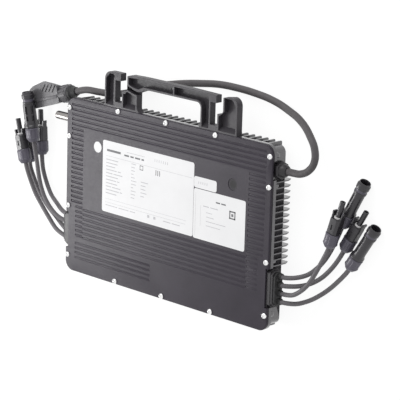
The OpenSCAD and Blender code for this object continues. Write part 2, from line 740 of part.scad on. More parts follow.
module transformers() {
    color([0.3, 0.3, 0.3]) for (x = transformer_xs) {
        translate([x, transformer_y, board_top]) {
            translate([-core_w / 2, -core_l / 2, 0]) cube([core_w, core_l, flange_h]);
            translate([-winding_w / 2, -winding_l / 2, 0]) cube([winding_w, winding_l, core_h]);
            translate([-core_w / 2, -core_l / 2, core_h - flange_h]) cube([core_w, core_l, flange_h]);
        }
    }
}

can_r = 5;
can_len = 24;
can_pitch = board_w / 12;

module capacitors() {
    color([0.15, 0.15, 0.3]) for (k = [0:5]) {
        translate([(k - 4.2) * can_pitch, board_h / 15, board_top + can_r]) rotate([-90, 0, 0])
            cylinder(h = can_len, r = can_r);
    }
}

relay_size = [16, 28, 10];

module relays() {
    color([0.1, 0.1, 0.1]) for (k = [0:1]) {
        translate([board_w / 2 - 54 + 22 * k, board_h / 2 - 52, board_top]) cube(relay_size);
    }
}

choke_r = 9;
choke_wire_r = 4.5;

module ac_choke() {
    color([0.55, 0.35, 0.15]) translate([board_w / 2 - 38, board_h / 2 - 72, board_top + choke_wire_r])
        rotate_extrude() translate([choke_r, 0]) circle(r = choke_wire_r);
}

pad_w = 28;
pad_l = 24;

module thermal_pads() {
    color([0.6, 0.6, 0.65]) for (x = transformer_xs) {
        translate([x - pad_w / 2, transformer_y - pad_l / 2, cavity_z]) cube([pad_w, pad_l, board_z - cavity_z]);
    }
}

// Panel connectors: union nut, bodies and seal ring
module at_place(place) {
    translate(place[0]) rotate([0, 0, place[1]]) rotate([0, -place[2], 0]) children();
}

module union_nut() {
    color([0.36, 0.35, 0.4]) difference() {
        intersection() {
            hex_x(2 * nut_r - 0.9, 0, nut_len);
            turned([[0, 0], [0, 5.4], [1.5, 6.2], [5, nut_r], [nut_len - 1.5, nut_r], [nut_len, nut_r - 0.8], [nut_len, 0]]);
        }
        rod_x(lead_bore_r, -1, stub_x + 1);
        rod_x(stub_r + thread_gap, stub_x, nut_len + 1);
    }
}

module male_body() {
    color([0.24, 0.24, 0.26]) difference() {
        union() {
            rod_x(stub_r, stub_x + 0.2, nut_len + 1);
            intersection() {
                turned([[nut_len, 0], [nut_len, 7], [nut_len + 1.5, 7.6], [male_body_x - 2, 7.6], [male_body_x, 6.8], [male_body_x, 0]]);
                block([nut_len, -6.6, -6.4], [male_body_x, 6.6, 6.4]);
            }
            rod_x(barrel_r, male_body_x - 1, male_len);
            for (s = [-1, 1]) {
                block([male_body_x - 6, s * 5.9 - 0.9, -3], [male_body_x + 4, s * 5.9 + 0.9, 3]);
                block([male_body_x + 4 - eps, s * 6.3 - 0.9, -3], [male_body_x + 7, s * 6.3 + 0.9, 3]);
            }
        }
        rod_x(1.9, male_len - 10, male_len + 1);
        block([nut_len + 5, -0.9, 5.4], [nut_len + 11, 0.9, 8]);
    }
}

module seal_ring() {
    color([0.75, 0.74, 0.74]) difference() {
        rod_x(barrel_r + 1.1, male_body_x, male_body_x + ring_t);
        rod_x(barrel_r + ring_gap, male_body_x - 1, male_body_x + ring_t + 1);
    }
}

module female_body() {
    x = female_len;
    color([0.22, 0.22, 0.23]) difference() {
        union() {
            rod_x(stub_r, stub_x + 0.2, nut_len + 1);
            turned([[nut_len, 0], [nut_len, 7], [nut_len + 2, female_r], [x - 17, female_r], [x - 16, collar_out_r],
                [x - 11, collar_out_r], [x - 10.5, collar_out_r - 0.9], [x - 9.5, collar_out_r - 0.9], [x - 9, collar_out_r],
                [x - 3, collar_out_r], [x - 2.5, collar_out_r - 1], [x, collar_out_r - 1.3], [x, 0]]);
        }
        rod_x(female_bore_r, x - female_bore_len, x + 1);
        for (s = [-1, 1], k = [0, 1]) {
            block([x - 30 + 11 * k, s * 5.2 - 0.9, -9], [x - 21 + 11 * k, s * 5.2 + 0.9, 9]);
        }
    }
}

module female_body_right_1() { at_place(place_right_1) female_body(); }
module male_body_right_2() { at_place(place_right_2) male_body(); }
module male_body_right_3() { at_place(place_right_3) male_body(); }
module female_body_right_4() { at_place(place_right_4) female_body(); }
module male_body_left_1() { at_place(place_left_1) male_body(); }
module female_body_left_2() { at_place(place_left_2) female_body(); }
module female_body_left_3() { at_place(place_left_3) female_body(); }
module male_body_left_4() { at_place(place_left_4) male_body(); }
module nut_right_1() { at_place(place_right_1) union_nut(); }
module nut_right_2() { at_place(place_right_2) union_nut(); }
module nut_right_3() { at_place(place_right_3) union_nut(); }
module nut_right_4() { at_place(place_right_4) union_nut(); }
module nut_left_1() { at_place(place_left_1) union_nut(); }
module nut_left_2() { at_place(place_left_2) union_nut(); }
module nut_left_3() { at_place(place_left_3) union_nut(); }
module nut_left_4() { at_place(place_left_4) union_nut(); }
module ring_right_2() { at_place(place_right_2) seal_ring(); }
module ring_right_3() { at_place(place_right_3) seal_ring(); }
module ring_left_1() { at_place(place_left_1) seal_ring(); }
module ring_left_4() { at_place(place_left_4) seal_ring(); }

// Mains plug, drawn along -X from its cable end
plug_edge = [[0, -8.5], [0, 11.5], [-8, 15.2], [-22, 19.8], [-42, 17], [-60, 9], [-70, 2], [-73, -4], [-70, -9], [-66, -10], [-14, -9.7]];
plug_foot = [[0, -8.5], [0, 6], [-8, 8], [-22, 12], [-42, 10], [-60, 4], [-70, -1], [-72, -4], [-70, -7], [-66, -9], [-14, -8.7]];
plug_rim = 4;
plug_slot_x = -23.3;
plug_slot_y = 12;
plug_slot_pitch = 6;
plug_slot_turn = 44;

module at_plug() {
    translate(plug_place) rotate([0, 0, plug_turn]) children();
}

module ac_plug_housing() {
    color([0.42, 0.42, 0.44]) at_plug() difference() {
        hull() {
            translate([0, 0, plug_z0 - plug_place[2]]) linear_extrude(plug_rim) polygon(plug_foot);
            translate([0, 0, plug_top - plug_place[2] - plug_rim]) linear_extrude(plug_rim) polygon(plug_edge);
        }
        translate([-48, 0, plug_top - plug_place[2]]) rotate([0, -22, 0]) translate([-60, -40, 0]) cube([60, 80, 30]);
        for (k = [0:3]) {
            translate([plug_slot_x + plug_slot_pitch * k, plug_slot_y - 1.1 * k, plug_top - plug_place[2]]) rotate([0, 0, plug_slot_turn]) cube([11, 1.6, 2.4], center = true);
        }
        rod_x(6, -30, 1);
        translate([-76, -1, -4]) rotate([0, 0, 28]) cube([30, 12, 10], center = true);
    }
}

module ac_plug_insert() {
    color([0.2, 0.2, 0.21]) at_plug() rod_x(5.8, -29, -1);
}

module ac_plug_nut() {
    color([0.45, 0.45, 0.46]) at_plug() difference() {
        intersection() {
            hex_x(20, 0, plug_nut_len);
            turned([[0, 0], [0, 10.6], [1, 11], [plug_nut_len - 2, 11], [plug_nut_len, 9.6], [plug_nut_len, 0]]);
        }
        rod_x(boot_r + 0.2, -1, plug_nut_len + 1);
    }
}

module ac_plug_boot() {
    color([0.15, 0.15, 0.15]) at_plug() difference() {
        turned([[0, 0], [0, boot_r], [plug_nut_len, boot_r], [plug_nut_len + 0.5, boot_r + 2], [plug_nut_len + 3, boot_r + 2],
            [plug_nut_len + 4.5, boot_r], [boot_len, 5.2], [boot_len, 0]]);
        rod_x(ac_bore_r, 3, boot_len + 1);
    }
}

// Leads
module lead(route) {
    color([0.3, 0.3, 0.3]) tube(route, lead_d, 8);
}

module ac_cord() { color([0.33, 0.33, 0.33]) tube(mains_route, mains_d, 10); }
module lead_right_1() { lead(lead_route_right_1); }
module lead_right_2() { lead(lead_route_right_2); }
module lead_right_3() { lead(lead_route_right_3); }
module lead_right_4() { lead(lead_route_right_4); }
module lead_left_1() { lead(lead_route_left_1); }
module lead_left_2() { lead(lead_route_left_2); }
module lead_left_3() { lead(lead_route_left_3); }
module lead_left_4() { lead(lead_route_left_4); }

heatsink_base();
cover_gasket();
cover_plate();
cover_screws();
mounting_bracket();
dc_gland_frame_right();
dc_gland_seal_right();
dc_gland_frame_left();
dc_gland_seal_left();
ac_gland_body();
ac_gland_nut();
antenna_sleeve();
antenna_nut();
rating_label();
serial_label();
code_label();
round_sticker();
circuit_board();
transformers();
capacitors();
relays();
ac_choke();
thermal_pads();
ac_cord();
ac_plug_housing();
ac_plug_insert();
ac_plug_nut();
ac_plug_boot();
lead_right_1();
lead_right_2();
lead_right_3();
lead_right_4();
lead_left_1();
lead_left_2();
lead_left_3();
lead_left_4();
female_body_right_1();
male_body_right_2();
male_body_right_3();
female_body_right_4();
male_body_left_1();
female_body_left_2();
female_body_left_3();
male_body_left_4();
nut_right_1();
nut_right_2();
nut_right_3();
nut_right_4();
nut_left_1();
nut_left_2();
nut_left_3();
nut_left_4();
ring_right_2();
ring_right_3();
ring_left_1();
ring_left_4();
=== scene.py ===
"""Looks of a solar microinverter: case, cover, bracket, leads, connectors and plug."""

import math

import bmesh
import bpy
from mathutils import Matrix, Vector


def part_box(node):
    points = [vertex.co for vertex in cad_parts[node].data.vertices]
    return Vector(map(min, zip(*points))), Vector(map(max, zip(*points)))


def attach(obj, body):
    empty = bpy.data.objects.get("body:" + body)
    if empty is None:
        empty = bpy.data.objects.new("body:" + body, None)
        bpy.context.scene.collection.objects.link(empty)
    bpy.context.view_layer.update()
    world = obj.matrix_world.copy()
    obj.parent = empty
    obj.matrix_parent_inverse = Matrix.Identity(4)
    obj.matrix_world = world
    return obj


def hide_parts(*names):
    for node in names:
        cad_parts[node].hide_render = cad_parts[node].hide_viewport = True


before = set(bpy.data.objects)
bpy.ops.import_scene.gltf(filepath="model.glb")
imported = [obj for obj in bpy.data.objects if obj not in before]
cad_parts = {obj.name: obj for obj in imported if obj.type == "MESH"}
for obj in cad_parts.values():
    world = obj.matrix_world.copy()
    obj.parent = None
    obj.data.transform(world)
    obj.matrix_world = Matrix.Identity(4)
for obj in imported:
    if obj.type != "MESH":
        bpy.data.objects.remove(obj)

bl_info = {
    "name": "Solar microinverter",
    "version": (1, 0, 0),
    "blender": (4, 5, 0),
    "location": "View3D > Sidebar > Microinverter",
    "description": "Builds and finishes a solar microinverter with its leads and plug",
    "category": "Object",
}

MM = 0.001

# Nearer points are merged, flatter edges are dissolved, and sharper edges are rounded
MERGE_DISTANCE = 0.002 * MM
FLAT_ANGLE = math.radians(0.6)
EDGE_ANGLE = math.radians(28)

# Camera fitted to the photo, in metres
CAMERA_PLACE = (1.6986, 0.6248, 1.7194)
CAMERA_AXES = Matrix(((0.7108, -0.1942, 0.6761), (0.0291, 0.9684, 0.2476), (-0.7028, -0.1563, 0.694)))
SENSOR_WIDTH = 36.0
# Lamps, in metres
KEY_LAMP = {"location": (-0.2, 1.5, 0.85), "target": (0.0, 0.0, 0.02), "size": 1.1}
SIDE_LAMP = {"location": (-0.85, -0.2, 0.62), "target": (-0.1, 0.0, 0.03), "size": 0.4}
# Floor: width in metres, grey, strength of its glow and the share of its look that the lamps give
FLOOR_SIZE = 12.0
FLOOR_GREY = 0.8
FLOOR_GLOW = 1.16
FLOOR_LIT_SHARE = 0.22

# Height of the cover's face, in millimetres
FRONT_Z = 34.6
# Dimple: its place, the radius of the shade painted into its hollow, the share of the radius over which that fades,
# and its strength
DIMPLE_PLACE = (106.7, 51.1)
DIMPLE_PAINTED_SHADE_RADIUS = 7.5
DIMPLE_FADE = 0.5
DIMPLE_PAINTED_SHADE = 0.85
NEAR_BLACK = (0.002, 0.002, 0.002, 1.0)
# Antenna: its length outside the case, its radius and its groove's, then the length of the gland nut's hexagon
ANTENNA_VISIBLE = 33.0
ANTENNA_RADIUS, ANTENNA_WAIST = 4.88, 4.6
GLAND_HEX_LENGTH = 6.0
# Pockets between the side ribs, which take painted shade: their top, how far out their faces lie and how far they
# reach along the side
RIB_TOP = 27.1
RIB_WALL = (155.0, 161.5)
RIB_REACH = 68.0
# A face whose normal has more than this along an axis faces that way
FACING = 0.9
# Grooves of the cover: half of their field's width and height, their heights, the room round the dimple, and
# where the areas over and under the labels begin
GROOVE_FIELD = (156.1, 99.2)
GROOVE_HEIGHTS = (FRONT_Z - 0.85, FRONT_Z - 0.01)
DIMPLE_ROOM = 8.0
TOP_AREA, LOW_AREA = 71.0, -23.0
# How deep the grooves of each area are pressed, as a share of the deepest
GROOVE_SHARES = {"left": 0.85, "top": 0.7, "right": 0.6, "low": 0.5}
SCREW_PLACES = [(s * 160.5, y) for s in (-1, 1) for y in (92.5, 58.3, -26.0, -86.6)] + [
    (x, s * 101.5) for s in (-1, 1) for x in (-78.0, 0.0, 78.0)
]

# Routes of the leads and the mains cord, in millimetres
LEAD_ROUTES = {
    "right_1": [(171, -41.25, 23), (178, -41.25, 23), (190, -39.5, 19), (202.6, -34, 11), (216, -20, 6),
                (227, -4.5, 6), (236.5, 11, 8), (243, 24.5, 8.4), (246.8, 32.7, 8.4)],
    "right_2": [(171, -50.75, 23), (178, -50.75, 23), (191, -49.5, 16), (203.5, -45, 9), (216, -36, 5),
                (228, -23.6, 4), (238.5, -11.5, 6), (246.4, -1.4, 8.4), (251.5, 7.3, 8.4)],
    "right_3": [(171, -60.25, 23), (178, -60.25, 23), (191, -58, 23), (204, -49.5, 23), (215, -38, 23.5),
                (225, -22.5, 24), (234, -7, 24.2), (239.5, 3.8, 24.2), (242.2, 12.4, 24.2)],
    "right_4": [(171, -69.75, 23), (178, -69.75, 23), (191, -69.4, 16), (206, -62.5, 8), (223, -49.5, 3.5),
                (241, -33.5, 5.5), (254.8, -19.7, 8.4), (260.1, -11.5, 8.4)],
    "left_1": [(-171, -69.75, 23), (-178, -69.75, 23), (-196, -65, 21.5), (-213, -55.5, 18), (-229, -43, 16),
               (-240, -29.5, 17), (-246.5, -11.5, 20.5), (-248.6, 2.3, 24.1), (-251.3, 11.7, 24.1)],
    "left_2": [(-171, -60.25, 23), (-178, -60.25, 23), (-192, -58.5, 17), (-210, -54, 10), (-229, -46, 6),
               (-246, -33, 4), (-256, -14, 6), (-259.8, 0, 8.4), (-260, 9.9, 8.4)],
    "left_3": [(-171, -50.75, 23), (-178, -50.75, 23), (-190, -48, 24), (-203, -41, 24), (-215.5, -27.5, 24.5),
               (-223.5, -9, 25), (-228.5, 12, 25), (-232.5, 32, 26.1), (-233.8, 42.2, 26.9)],
    "left_4": [(-171, -41.25, 23), (-178, -41.25, 23), (-190, -40, 19), (-206, -36, 12.5), (-222, -30, 7),
               (-234, -18, 4), (-238.5, -2, 6), (-238.1, 12.8, 8.4), (-238.7, 22.8, 8.4)],
}
MAINS_ROUTE = [
    (172, 76.5, 21), (183, 76.5, 21), (195, 78, 22), (206, 84, 22), (213, 94.5, 22), (212, 107, 21),
    (202, 119, 17.5), (183, 131, 11), (159.5, 139, 6), (136, 145.5, 4.3), (108, 149.5, 4.3), (80, 151, 4.3),
    (52, 150.5, 4.3), (24, 147, 4.3), (-4, 142.5, 4.3), (-30, 137, 4.3), (-52, 132, 4.6), (-71, 125, 6.5),
    (-91, 118, 9.5), (-112, 113.8, 11.5), (-134, 112.4, 12.5), (-156, 111.4, 12.8), (-172, 107.1, 12),
    (-184.6, 103.1, 12),
]

# Place of each connector: the middle of its nut's end in millimetres, then its turn in the plan and its tilt
CONNECTOR_PLACES = {
    "right_1": ((244.4, 28.3, 8.4), 61.5, 0.0),
    "right_2": ((249.0, 3.0, 8.4), 59.6, 0.0),
    "right_3": ((240.7, 7.6, 24.2), 72.4, 0.0),
    "right_4": ((257.4, -15.7, 8.4), 56.9, 0.0),
    "left_1": ((-250.0, 7.1, 24.1), 106.2, 0.0),
    "left_2": ((-259.9, 4.9, 8.4), 91.0, 0.0),
    "left_3": ((-233.2, 37.2, 26.5), 97.4, 4.2),
    "left_4": ((-238.4, 17.8, 8.4), 93.6, 0.0),
}
FEMALE = ("right_1", "right_4", "left_2", "left_3")
# Turn of the females about their own axes, by side
FEMALE_ROLL = {"left": 45.0, "right": 308.0}

# Union nut, in millimetres and degrees: its radius, and its grip panels' span along it and in each sixth of a turn
NUT_RADIUS = 8.2
PANEL_SPAN = (5.0, 15.0)
PANEL_TURN = (7.0, 53.0)
# Female body, in millimetres and degrees: its flattened barrel, the latch windows on both sides of its top, the
# grip ladder on its underside and the neck behind the collar
BARREL_SPAN = (21.0, 46.0)
BARREL_FLATTENING = 1.18
WINDOW_SPANS = ((26.0, 32.0), (34.4, 44.0))
WINDOW_PLACE, WINDOW_REACH = 29.0, 12.0
LADDER_START, LADDER_PITCH, LADDER_STEPS = 26.0, 1.2, 15
LADDER_END = LADDER_START + LADDER_PITCH * LADDER_STEPS
LADDER_REACH = 24.0
NECK_BAND = (49.4, 52.6)
NECK_RADIUS = 6.4
# Radii that part the female's bore and its inner faces from its outside
BORE_CLEAR, SHELL_CLEAR = 5.6, 6.0

# Plug: where its clamp nut begins and how it lies, then in millimetres and degrees half its height, the corners of
# its spine, and the radius and the grip ribs of its clamp nut
PLUG_PLACE = Matrix.Translation((-0.196, 0.0995, 0.012)) @ Matrix.Rotation(math.radians(17.5), 4, "Z")
PLUG_FACE = 10.0
PLUG_SPINE = ((-47.0, -2.6, PLUG_FACE - 1.0), (-1.5, 0.9, PLUG_FACE + 0.9))
CLAMP_RADIUS = 9.9
CLAMP_RIB_SPAN = (1.0, 11.4)
CLAMP_RIB_PITCH = 30.0

# A cord's radius as a share of its diameter: a hair thinner than its solid, so that its curve stays within it
CORD_FIT = 0.49

# Labels and their print, in millimetres
LABEL_TOP = FRONT_Z + 0.25
PRINT_TOP = LABEL_TOP + 0.03
# Each label: its node, left and low corner, right and top corner
LABEL_PLATES = {
    "rating_plate": ("rating_label", (-102.0, -20.7), (47.3, 64.4)),
    "serial_plate": ("serial_label", (47.6, 37.0), (82.6, 49.9)),
    "code_plate": ("code_label", (47.75, -21.2), (127.5, 36.2)),
}

# Each finish: its colour, its roughness from and to and the fineness of its grain, then what isn't the usual: the
# grain's depth in millimetres, the spread and the share of its colour, and constants on the shader's own sockets
FINISHES = {
    "cast_coating": ("cast", (0.3, 0.38), 1400.0, {"sockets": {
        "Specular IOR Level": 0.7, "Coat Weight": 1.0, "Coat Roughness": 0.15, "Coat IOR": 1.6}}),
    # Painted shade: the cast colour at half its brightness, for the pockets between the side ribs
    "rib_coating": ("cast", (0.5, 0.62), 1400.0, {
        "depth": 0.03, "share": 0.5, "sockets": {"Specular IOR Level": 0.3}}),
    "cover_coating": ("cover", (0.3, 0.36), 1500.0, {"sockets": {"Specular IOR Level": 0.2}}),
    "bracket_plastic": ("bracket", (0.36, 0.46), 1100.0, {"sockets": {"Specular IOR Level": 0.35}}),
    "gland_plastic": ("gland", (0.35, 0.45), 1200.0, {}),
    "soft_rubber": ("rubber", (0.5, 0.65), 900.0, {"depth": 0.03}),
    "connector_plastic": ("connector", (0.28, 0.38), 1300.0, {"sockets": {"Specular IOR Level": 0.65}}),
    "nut_plastic": ("nut", (0.32, 0.44), 1300.0, {}),
    "seal_silicone": ("seal", (0.35, 0.5), 900.0, {"spread": 0.05}),
    "lead_jacket": ("lead", (0.5, 0.62), 1000.0, {"depth": 0.03, "spread": 0.08}),
    "mains_jacket": ("mains", (0.55, 0.68), 1000.0, {"depth": 0.03, "spread": 0.08}),
    "plug_plastic": ("plug", (0.4, 0.5), 1100.0, {}),
    "screw_metal": ("screw", (0.16, 0.28), 2500.0, {"depth": 0.006, "spread": 0.06, "sockets": {"Metallic": 1.0}}),
    "antenna_metal": ("antenna", (0.2, 0.28), 2200.0, {"depth": 0.002, "spread": 0.05, "sockets": {"Metallic": 1.0}}),
    "label_film": ("label", (0.45, 0.55), 800.0, {
        "depth": 0.008, "spread": 0.02, "sockets": {"Specular IOR Level": 0.25}}),
    "print_dark": ("print_dark", (0.5, 0.6), 900.0, {"depth": 0.002, "spread": 0.04}),
    "print_light": ("print_light", (0.5, 0.6), 900.0, {"depth": 0.002, "spread": 0.04}),
    "board_lacquer": ("board", (0.25, 0.4), 700.0, {}),
    "core_ferrite": ("core", (0.55, 0.7), 900.0, {"depth": 0.04}),
    "can_sleeve": ("can", (0.3, 0.42), 900.0, {"depth": 0.01}),
    "relay_plastic": ("relay", (0.35, 0.5), 900.0, {}),
    "pad_silicone": ("pad", (0.6, 0.75), 700.0, {"depth": 0.04}),
}
# Scale of the soft patches in every finish's colour, scale of its gloss changes as a share of its grain's, and the
# span in which most of the noise lies
PATCH_SCALE = 28.0
GLOSS_SHARE = 0.2
NOISE_SPAN = (0.3, 0.7)
WHITE = (1.0, 1.0, 1.0, 1.0)
# Pieces that keep their solid's shape and only take a finish
INNER_FINISHES = {
    "cover_gasket": "soft_rubber", "circuit_board": "board_lacquer", "transformers": "core_ferrite",
    "ac_choke": "core_ferrite", "capacitors": "can_sleeve", "relays": "relay_plastic",
    "thermal_pads": "pad_silicone",
}


def activate(piece):
    """Make a piece the active one and the only one selected."""
    bpy.ops.object.select_all(action="DESELECT")
    piece.select_set(True)
    bpy.context.view_layer.objects.active = piece


def select_everything():
    bpy.ops.mesh.select_all(action="SELECT")


def edit_mode(piece):
    """Edit a piece by its faces, with all of them selected."""
    activate(piece)
    bpy.ops.object.mode_set(mode="EDIT")
    bpy.ops.mesh.select_mode(type="FACE")
    select_everything()


def object_mode():
    bpy.ops.object.mode_set(mode="OBJECT")


def apply_modifier(piece, kind, **values):
    activate(piece)
    bpy.ops.object.modifier_add(type=kind)
    modifier = piece.modifiers[-1]
    for key, value in values.items():
        setattr(modifier, key, value)
    bpy.ops.object.modifier_apply(modifier=modifier.name)


def smooth(piece, angle=math.radians(35)):
    activate(piece)
    bpy.ops.object.shade_smooth_by_angle(angle=angle)


def new_object(name, data):
    piece = bpy.data.objects.new(name, data)
    bpy.context.scene.collection.objects.link(piece)
    return piece


def round_sharp_edges(piece, width, angle):
    """In edit mode, round the edges where two faces meet at a sharper angle."""
    bpy.ops.mesh.select_mode(type="EDGE")
    shape = bmesh.from_edit_mesh(piece.data)
    for edge in shape.edges:
        edge.select_set(len(edge.link_faces) == 2 and edge.calc_face_angle(0) > angle)
    bmesh.update_edit_mesh(piece.data)
    bpy.ops.mesh.bevel(offset=width, segments=2, miter_outer="SHARP", loop_slide=False, clamp_overlap=False)


def rounded_copy(node, name, width):
    """A copy of a CAD node, merged into whole faces, with its edges rounded as a moulded or cast piece has them."""
    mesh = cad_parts[node].data.copy()
    mesh.name = name
    piece = new_object(name, mesh)
    edit_mode(piece)
    bpy.ops.mesh.remove_doubles(threshold=MERGE_DISTANCE)
    bpy.ops.mesh.dissolve_limited(angle_limit=FLAT_ANGLE)
    select_everything()
    bpy.ops.mesh.quads_convert_to_tris(ngon_method="BEAUTY")
    round_sharp_edges(piece, width, EDGE_ANGLE)
    object_mode()
    smooth(piece)
    apply_modifier(piece, "WEIGHTED_NORMAL", mode="FACE_AREA_WITH_ANGLE", weight=50, keep_sharp=True)
    return piece


def within(value, span):
    return span[0] < value < span[1]


def off_axis(centre):
    """Distance from the X axis."""
    return math.hypot(centre.y, centre.z)


def turn_of(centre):
    """Angle round the X axis in degrees."""
    return math.degrees(math.atan2(centre.z, centre.y)) % 360


def select_faces(piece, wanted):
    """In edit mode, select the faces whose centre, in millimetres, and normal pass the test."""
    bpy.ops.mesh.select_all(action="DESELECT")
    shape = bmesh.from_edit_mesh(piece.data)
    count = 0
    for face in shape.faces:
        if wanted(face.calc_center_median() / MM, face.normal):
            face.select_set(True)
            count += 1
    bmesh.update_edit_mesh(piece.data)
    if not count:
        raise RuntimeError(f"no face to shape on {piece.name}")


def tidy_mesh(piece):
    """Merge doubled points and turn the faces outwards."""
    edit_mode(piece)
    bpy.ops.mesh.remove_doubles(threshold=MERGE_DISTANCE)
    bpy.ops.mesh.normals_make_consistent(inside=False)
    object_mode()


def turned_piece(name, profile, sides=48, ring=False):
    """A piece turned about the X axis: a circle is extruded and resized along (place, radius) pairs."""
    place, radius = profile[0]
    bpy.ops.mesh.primitive_circle_add(
        vertices=sides, radius=radius * MM, fill_type="NOTHING" if ring else "NGON", location=(place * MM, 0, 0),
        rotation=(0, math.pi / 2, 0))
    piece = bpy.context.object
    piece.name = name
    bpy.ops.object.transform_apply(location=True, rotation=True, scale=True)
    edit_mode(piece)
    bpy.ops.mesh.select_mode(type="EDGE")
    select_everything()
    for next_place, next_radius in profile[1:]:
        bpy.ops.mesh.extrude_region_move(TRANSFORM_OT_translate={"value": ((next_place - place) * MM, 0, 0)})
        bpy.ops.transform.resize(value=(1, next_radius / radius, next_radius / radius),
                                 center_override=(next_place * MM, 0, 0))
        place, radius = next_place, next_radius
    object_mode()
    tidy_mesh(piece)
    return piece


def shaped_block(name, low, high):
    """A block between two corners, with its place in its mesh."""
    centre = [(a + b) / 2 * MM for a, b in zip(low, high)]
    size = [(b - a) * MM for a, b in zip(low, high)]
    bpy.ops.mesh.primitive_cube_add(size=1, location=centre, scale=size)
    piece = bpy.context.object
    piece.name = name
    bpy.ops.object.transform_apply(location=True, rotation=True, scale=True)
    return piece


def join_pieces(name, *pieces):
    activate(pieces[0])
    for piece in pieces[1:]:
        piece.select_set(True)
    bpy.ops.object.join()
    pieces[0].name = name
    return pieces[0]


def placed_copy(master, name, matrix):
    """A copy with its own mesh, whose place is in the mesh."""
    piece = new_object(name, master.data.copy())
    piece.data.name = name
    piece.data.transform(matrix)
    return piece


def drop(master):
    mesh = master.data
    bpy.data.objects.remove(master)
    bpy.data.meshes.remove(mesh)


def set_on_part(piece, name, slot, *nodes):
    """Give a piece its finish, its place on the part's body and the CAD nodes that it stands for."""
    piece.data.materials.clear()
    piece.data.materials.append(finish(name))
    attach(piece, "root")
    if nodes:
        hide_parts(*nodes)


def round_on_part(node, piece_name, width, name, slot):
    """Set a rounded copy of a CAD node on the part in its place."""
    piece = rounded_copy(node, piece_name, width)
    set_on_part(piece, name, slot, node)
    return piece


def paint_faces(piece, name, wanted):
    """Give the faces that pass the test a second finish."""
    piece.data.materials.append(finish(name))
    edit_mode(piece)
    select_faces(piece, wanted)
    piece.active_material_index = 1
    bpy.ops.object.material_slot_assign()
    object_mode()


def finish_node(node, name):
    """Give a CAD node that keeps its shape its finish."""
    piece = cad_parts[node]
    for slot in piece.material_slots:
        slot.material = finish(name)
    if not piece.material_slots:
        piece.data.materials.append(finish(name))


def open_nodes(owner):
    """Nodes and links of a material or a world."""
    owner.use_nodes = True
    return owner.node_tree.nodes, owner.node_tree.links


def object_noise(nodes, links, scale, detail=3.0):
    place = nodes.new("ShaderNodeTexCoord")
    noise = nodes.new("ShaderNodeTexNoise")
    noise.inputs["Scale"].default_value = scale
    noise.inputs["Detail"].default_value = detail
    links.new(place.outputs["Object"], noise.inputs["Vector"])
    return noise


def vary_colour(nodes, links, shader, noise, dark, light):
    ramp = nodes.new("ShaderNodeValToRGB")
    for element, position, colour in zip(ramp.color_ramp.elements, NOISE_SPAN, (dark, light)):
        element.position = position
        element.color = (*colour, 1.0)
    links.new(noise.outputs["Fac"], ramp.inputs["Fac"])
    links.new(ramp.outputs["Color"], shader.inputs["Base Color"])


def vary_roughness(nodes, links, shader, noise, low, high):
    spread = nodes.new("ShaderNodeMapRange")
    spread.inputs["From Min"].default_value, spread.inputs["From Max"].default_value = NOISE_SPAN
    spread.inputs["To Min"].default_value = low
    spread.inputs["To Max"].default_value = high
    links.new(noise.outputs["Fac"], spread.inputs["Value"])
    links.new(spread.outputs["Result"], shader.inputs["Roughness"])


def add_bump(nodes, links, shader, noise, depth):
    bump = nodes.new("ShaderNodeBump")
    bump.inputs["Distance"].default_value = depth
    links.new(noise.outputs["Fac"], bump.inputs["Height"])
    links.new(bump.outputs["Normal"], shader.inputs["Normal"])


def shaded(colour, factor):
    """The colour made darker or lighter."""
    return tuple(min(1.0, c * factor) for c in colour)


def surface(name, colour, rough, grain, depth, spread, sockets):
    """A material with the grain, patches and gloss changes of one real surface."""
    material = bpy.data.materials.new(name)
    nodes, links = open_nodes(material)
    shader = nodes["Principled BSDF"]
    shader.inputs["Base Color"].default_value = (*colour, 1.0)
    shader.inputs["Roughness"].default_value = rough[0]
    for socket, value in sockets.items():
        shader.inputs[socket].default_value = value
    patches = object_noise(nodes, links, PATCH_SCALE, detail=4.0)
    vary_colour(nodes, links, shader, patches, shaded(colour, 1 - spread), shaded(colour, 1 + spread))
    vary_roughness(nodes, links, shader, object_noise(nodes, links, grain * GLOSS_SHARE), *rough)
    add_bump(nodes, links, shader, object_noise(nodes, links, grain), depth * MM)
    return material


def finish(name):
    """The material of a named finish, made at its first use."""
    own_name = f"{name}_finish"  # not the name of one of the CAD's own materials
    if own_name in bpy.data.materials:
        return bpy.data.materials[own_name]
    colour, rough, grain, special = FINISHES[name]
    values = {"depth": 0.02, "spread": 0.12, "share": 1.0, "sockets": {}, **special}
    base = shaded(getattr(bpy.context.scene.inverter_colours, colour), values.pop("share"))
    return surface(own_name, base, rough, grain, **values)


def paint_shade_in_dimple(material):
    """Paint shade into the cover's coating in the round dimple beside the labels, darkest at its middle and fading
    out to its rim.
    """
    nodes, links = open_nodes(material)
    shader = nodes["Principled BSDF"]
    place = nodes.new("ShaderNodeTexCoord")
    centre = nodes.new("ShaderNodeMapping")
    centre.vector_type = "TEXTURE"
    centre.inputs["Location"].default_value = [v * MM for v in (*DIMPLE_PLACE, FRONT_Z)]
    centre.inputs["Scale"].default_value = [DIMPLE_PAINTED_SHADE_RADIUS * MM] * 3
    spot = nodes.new("ShaderNodeTexGradient")
    spot.gradient_type = "SPHERICAL"
    edge = nodes.new("ShaderNodeMapRange")
    edge.inputs["From Max"].default_value = DIMPLE_FADE
    edge.inputs["To Max"].default_value = DIMPLE_PAINTED_SHADE
    shade = nodes.new("ShaderNodeMix")
    shade.data_type = "RGBA"
    shade.inputs["B"].default_value = NEAR_BLACK
    paint = shader.inputs["Base Color"].links[0].from_socket
    links.new(place.outputs["Object"], centre.inputs["Vector"])
    links.new(centre.outputs["Vector"], spot.inputs["Vector"])
    links.new(spot.outputs["Fac"], edge.inputs["Value"])
    links.new(edge.outputs["Result"], shade.inputs["Factor"])
    links.new(paint, shade.inputs["A"])
    links.new(shade.outputs["Result"], shader.inputs["Base Color"])


def colour_property(text, default):
    return bpy.props.FloatVectorProperty(name=text, description=text, default=default, size=3, min=0.0, max=1.0,
                                         subtype="COLOR")


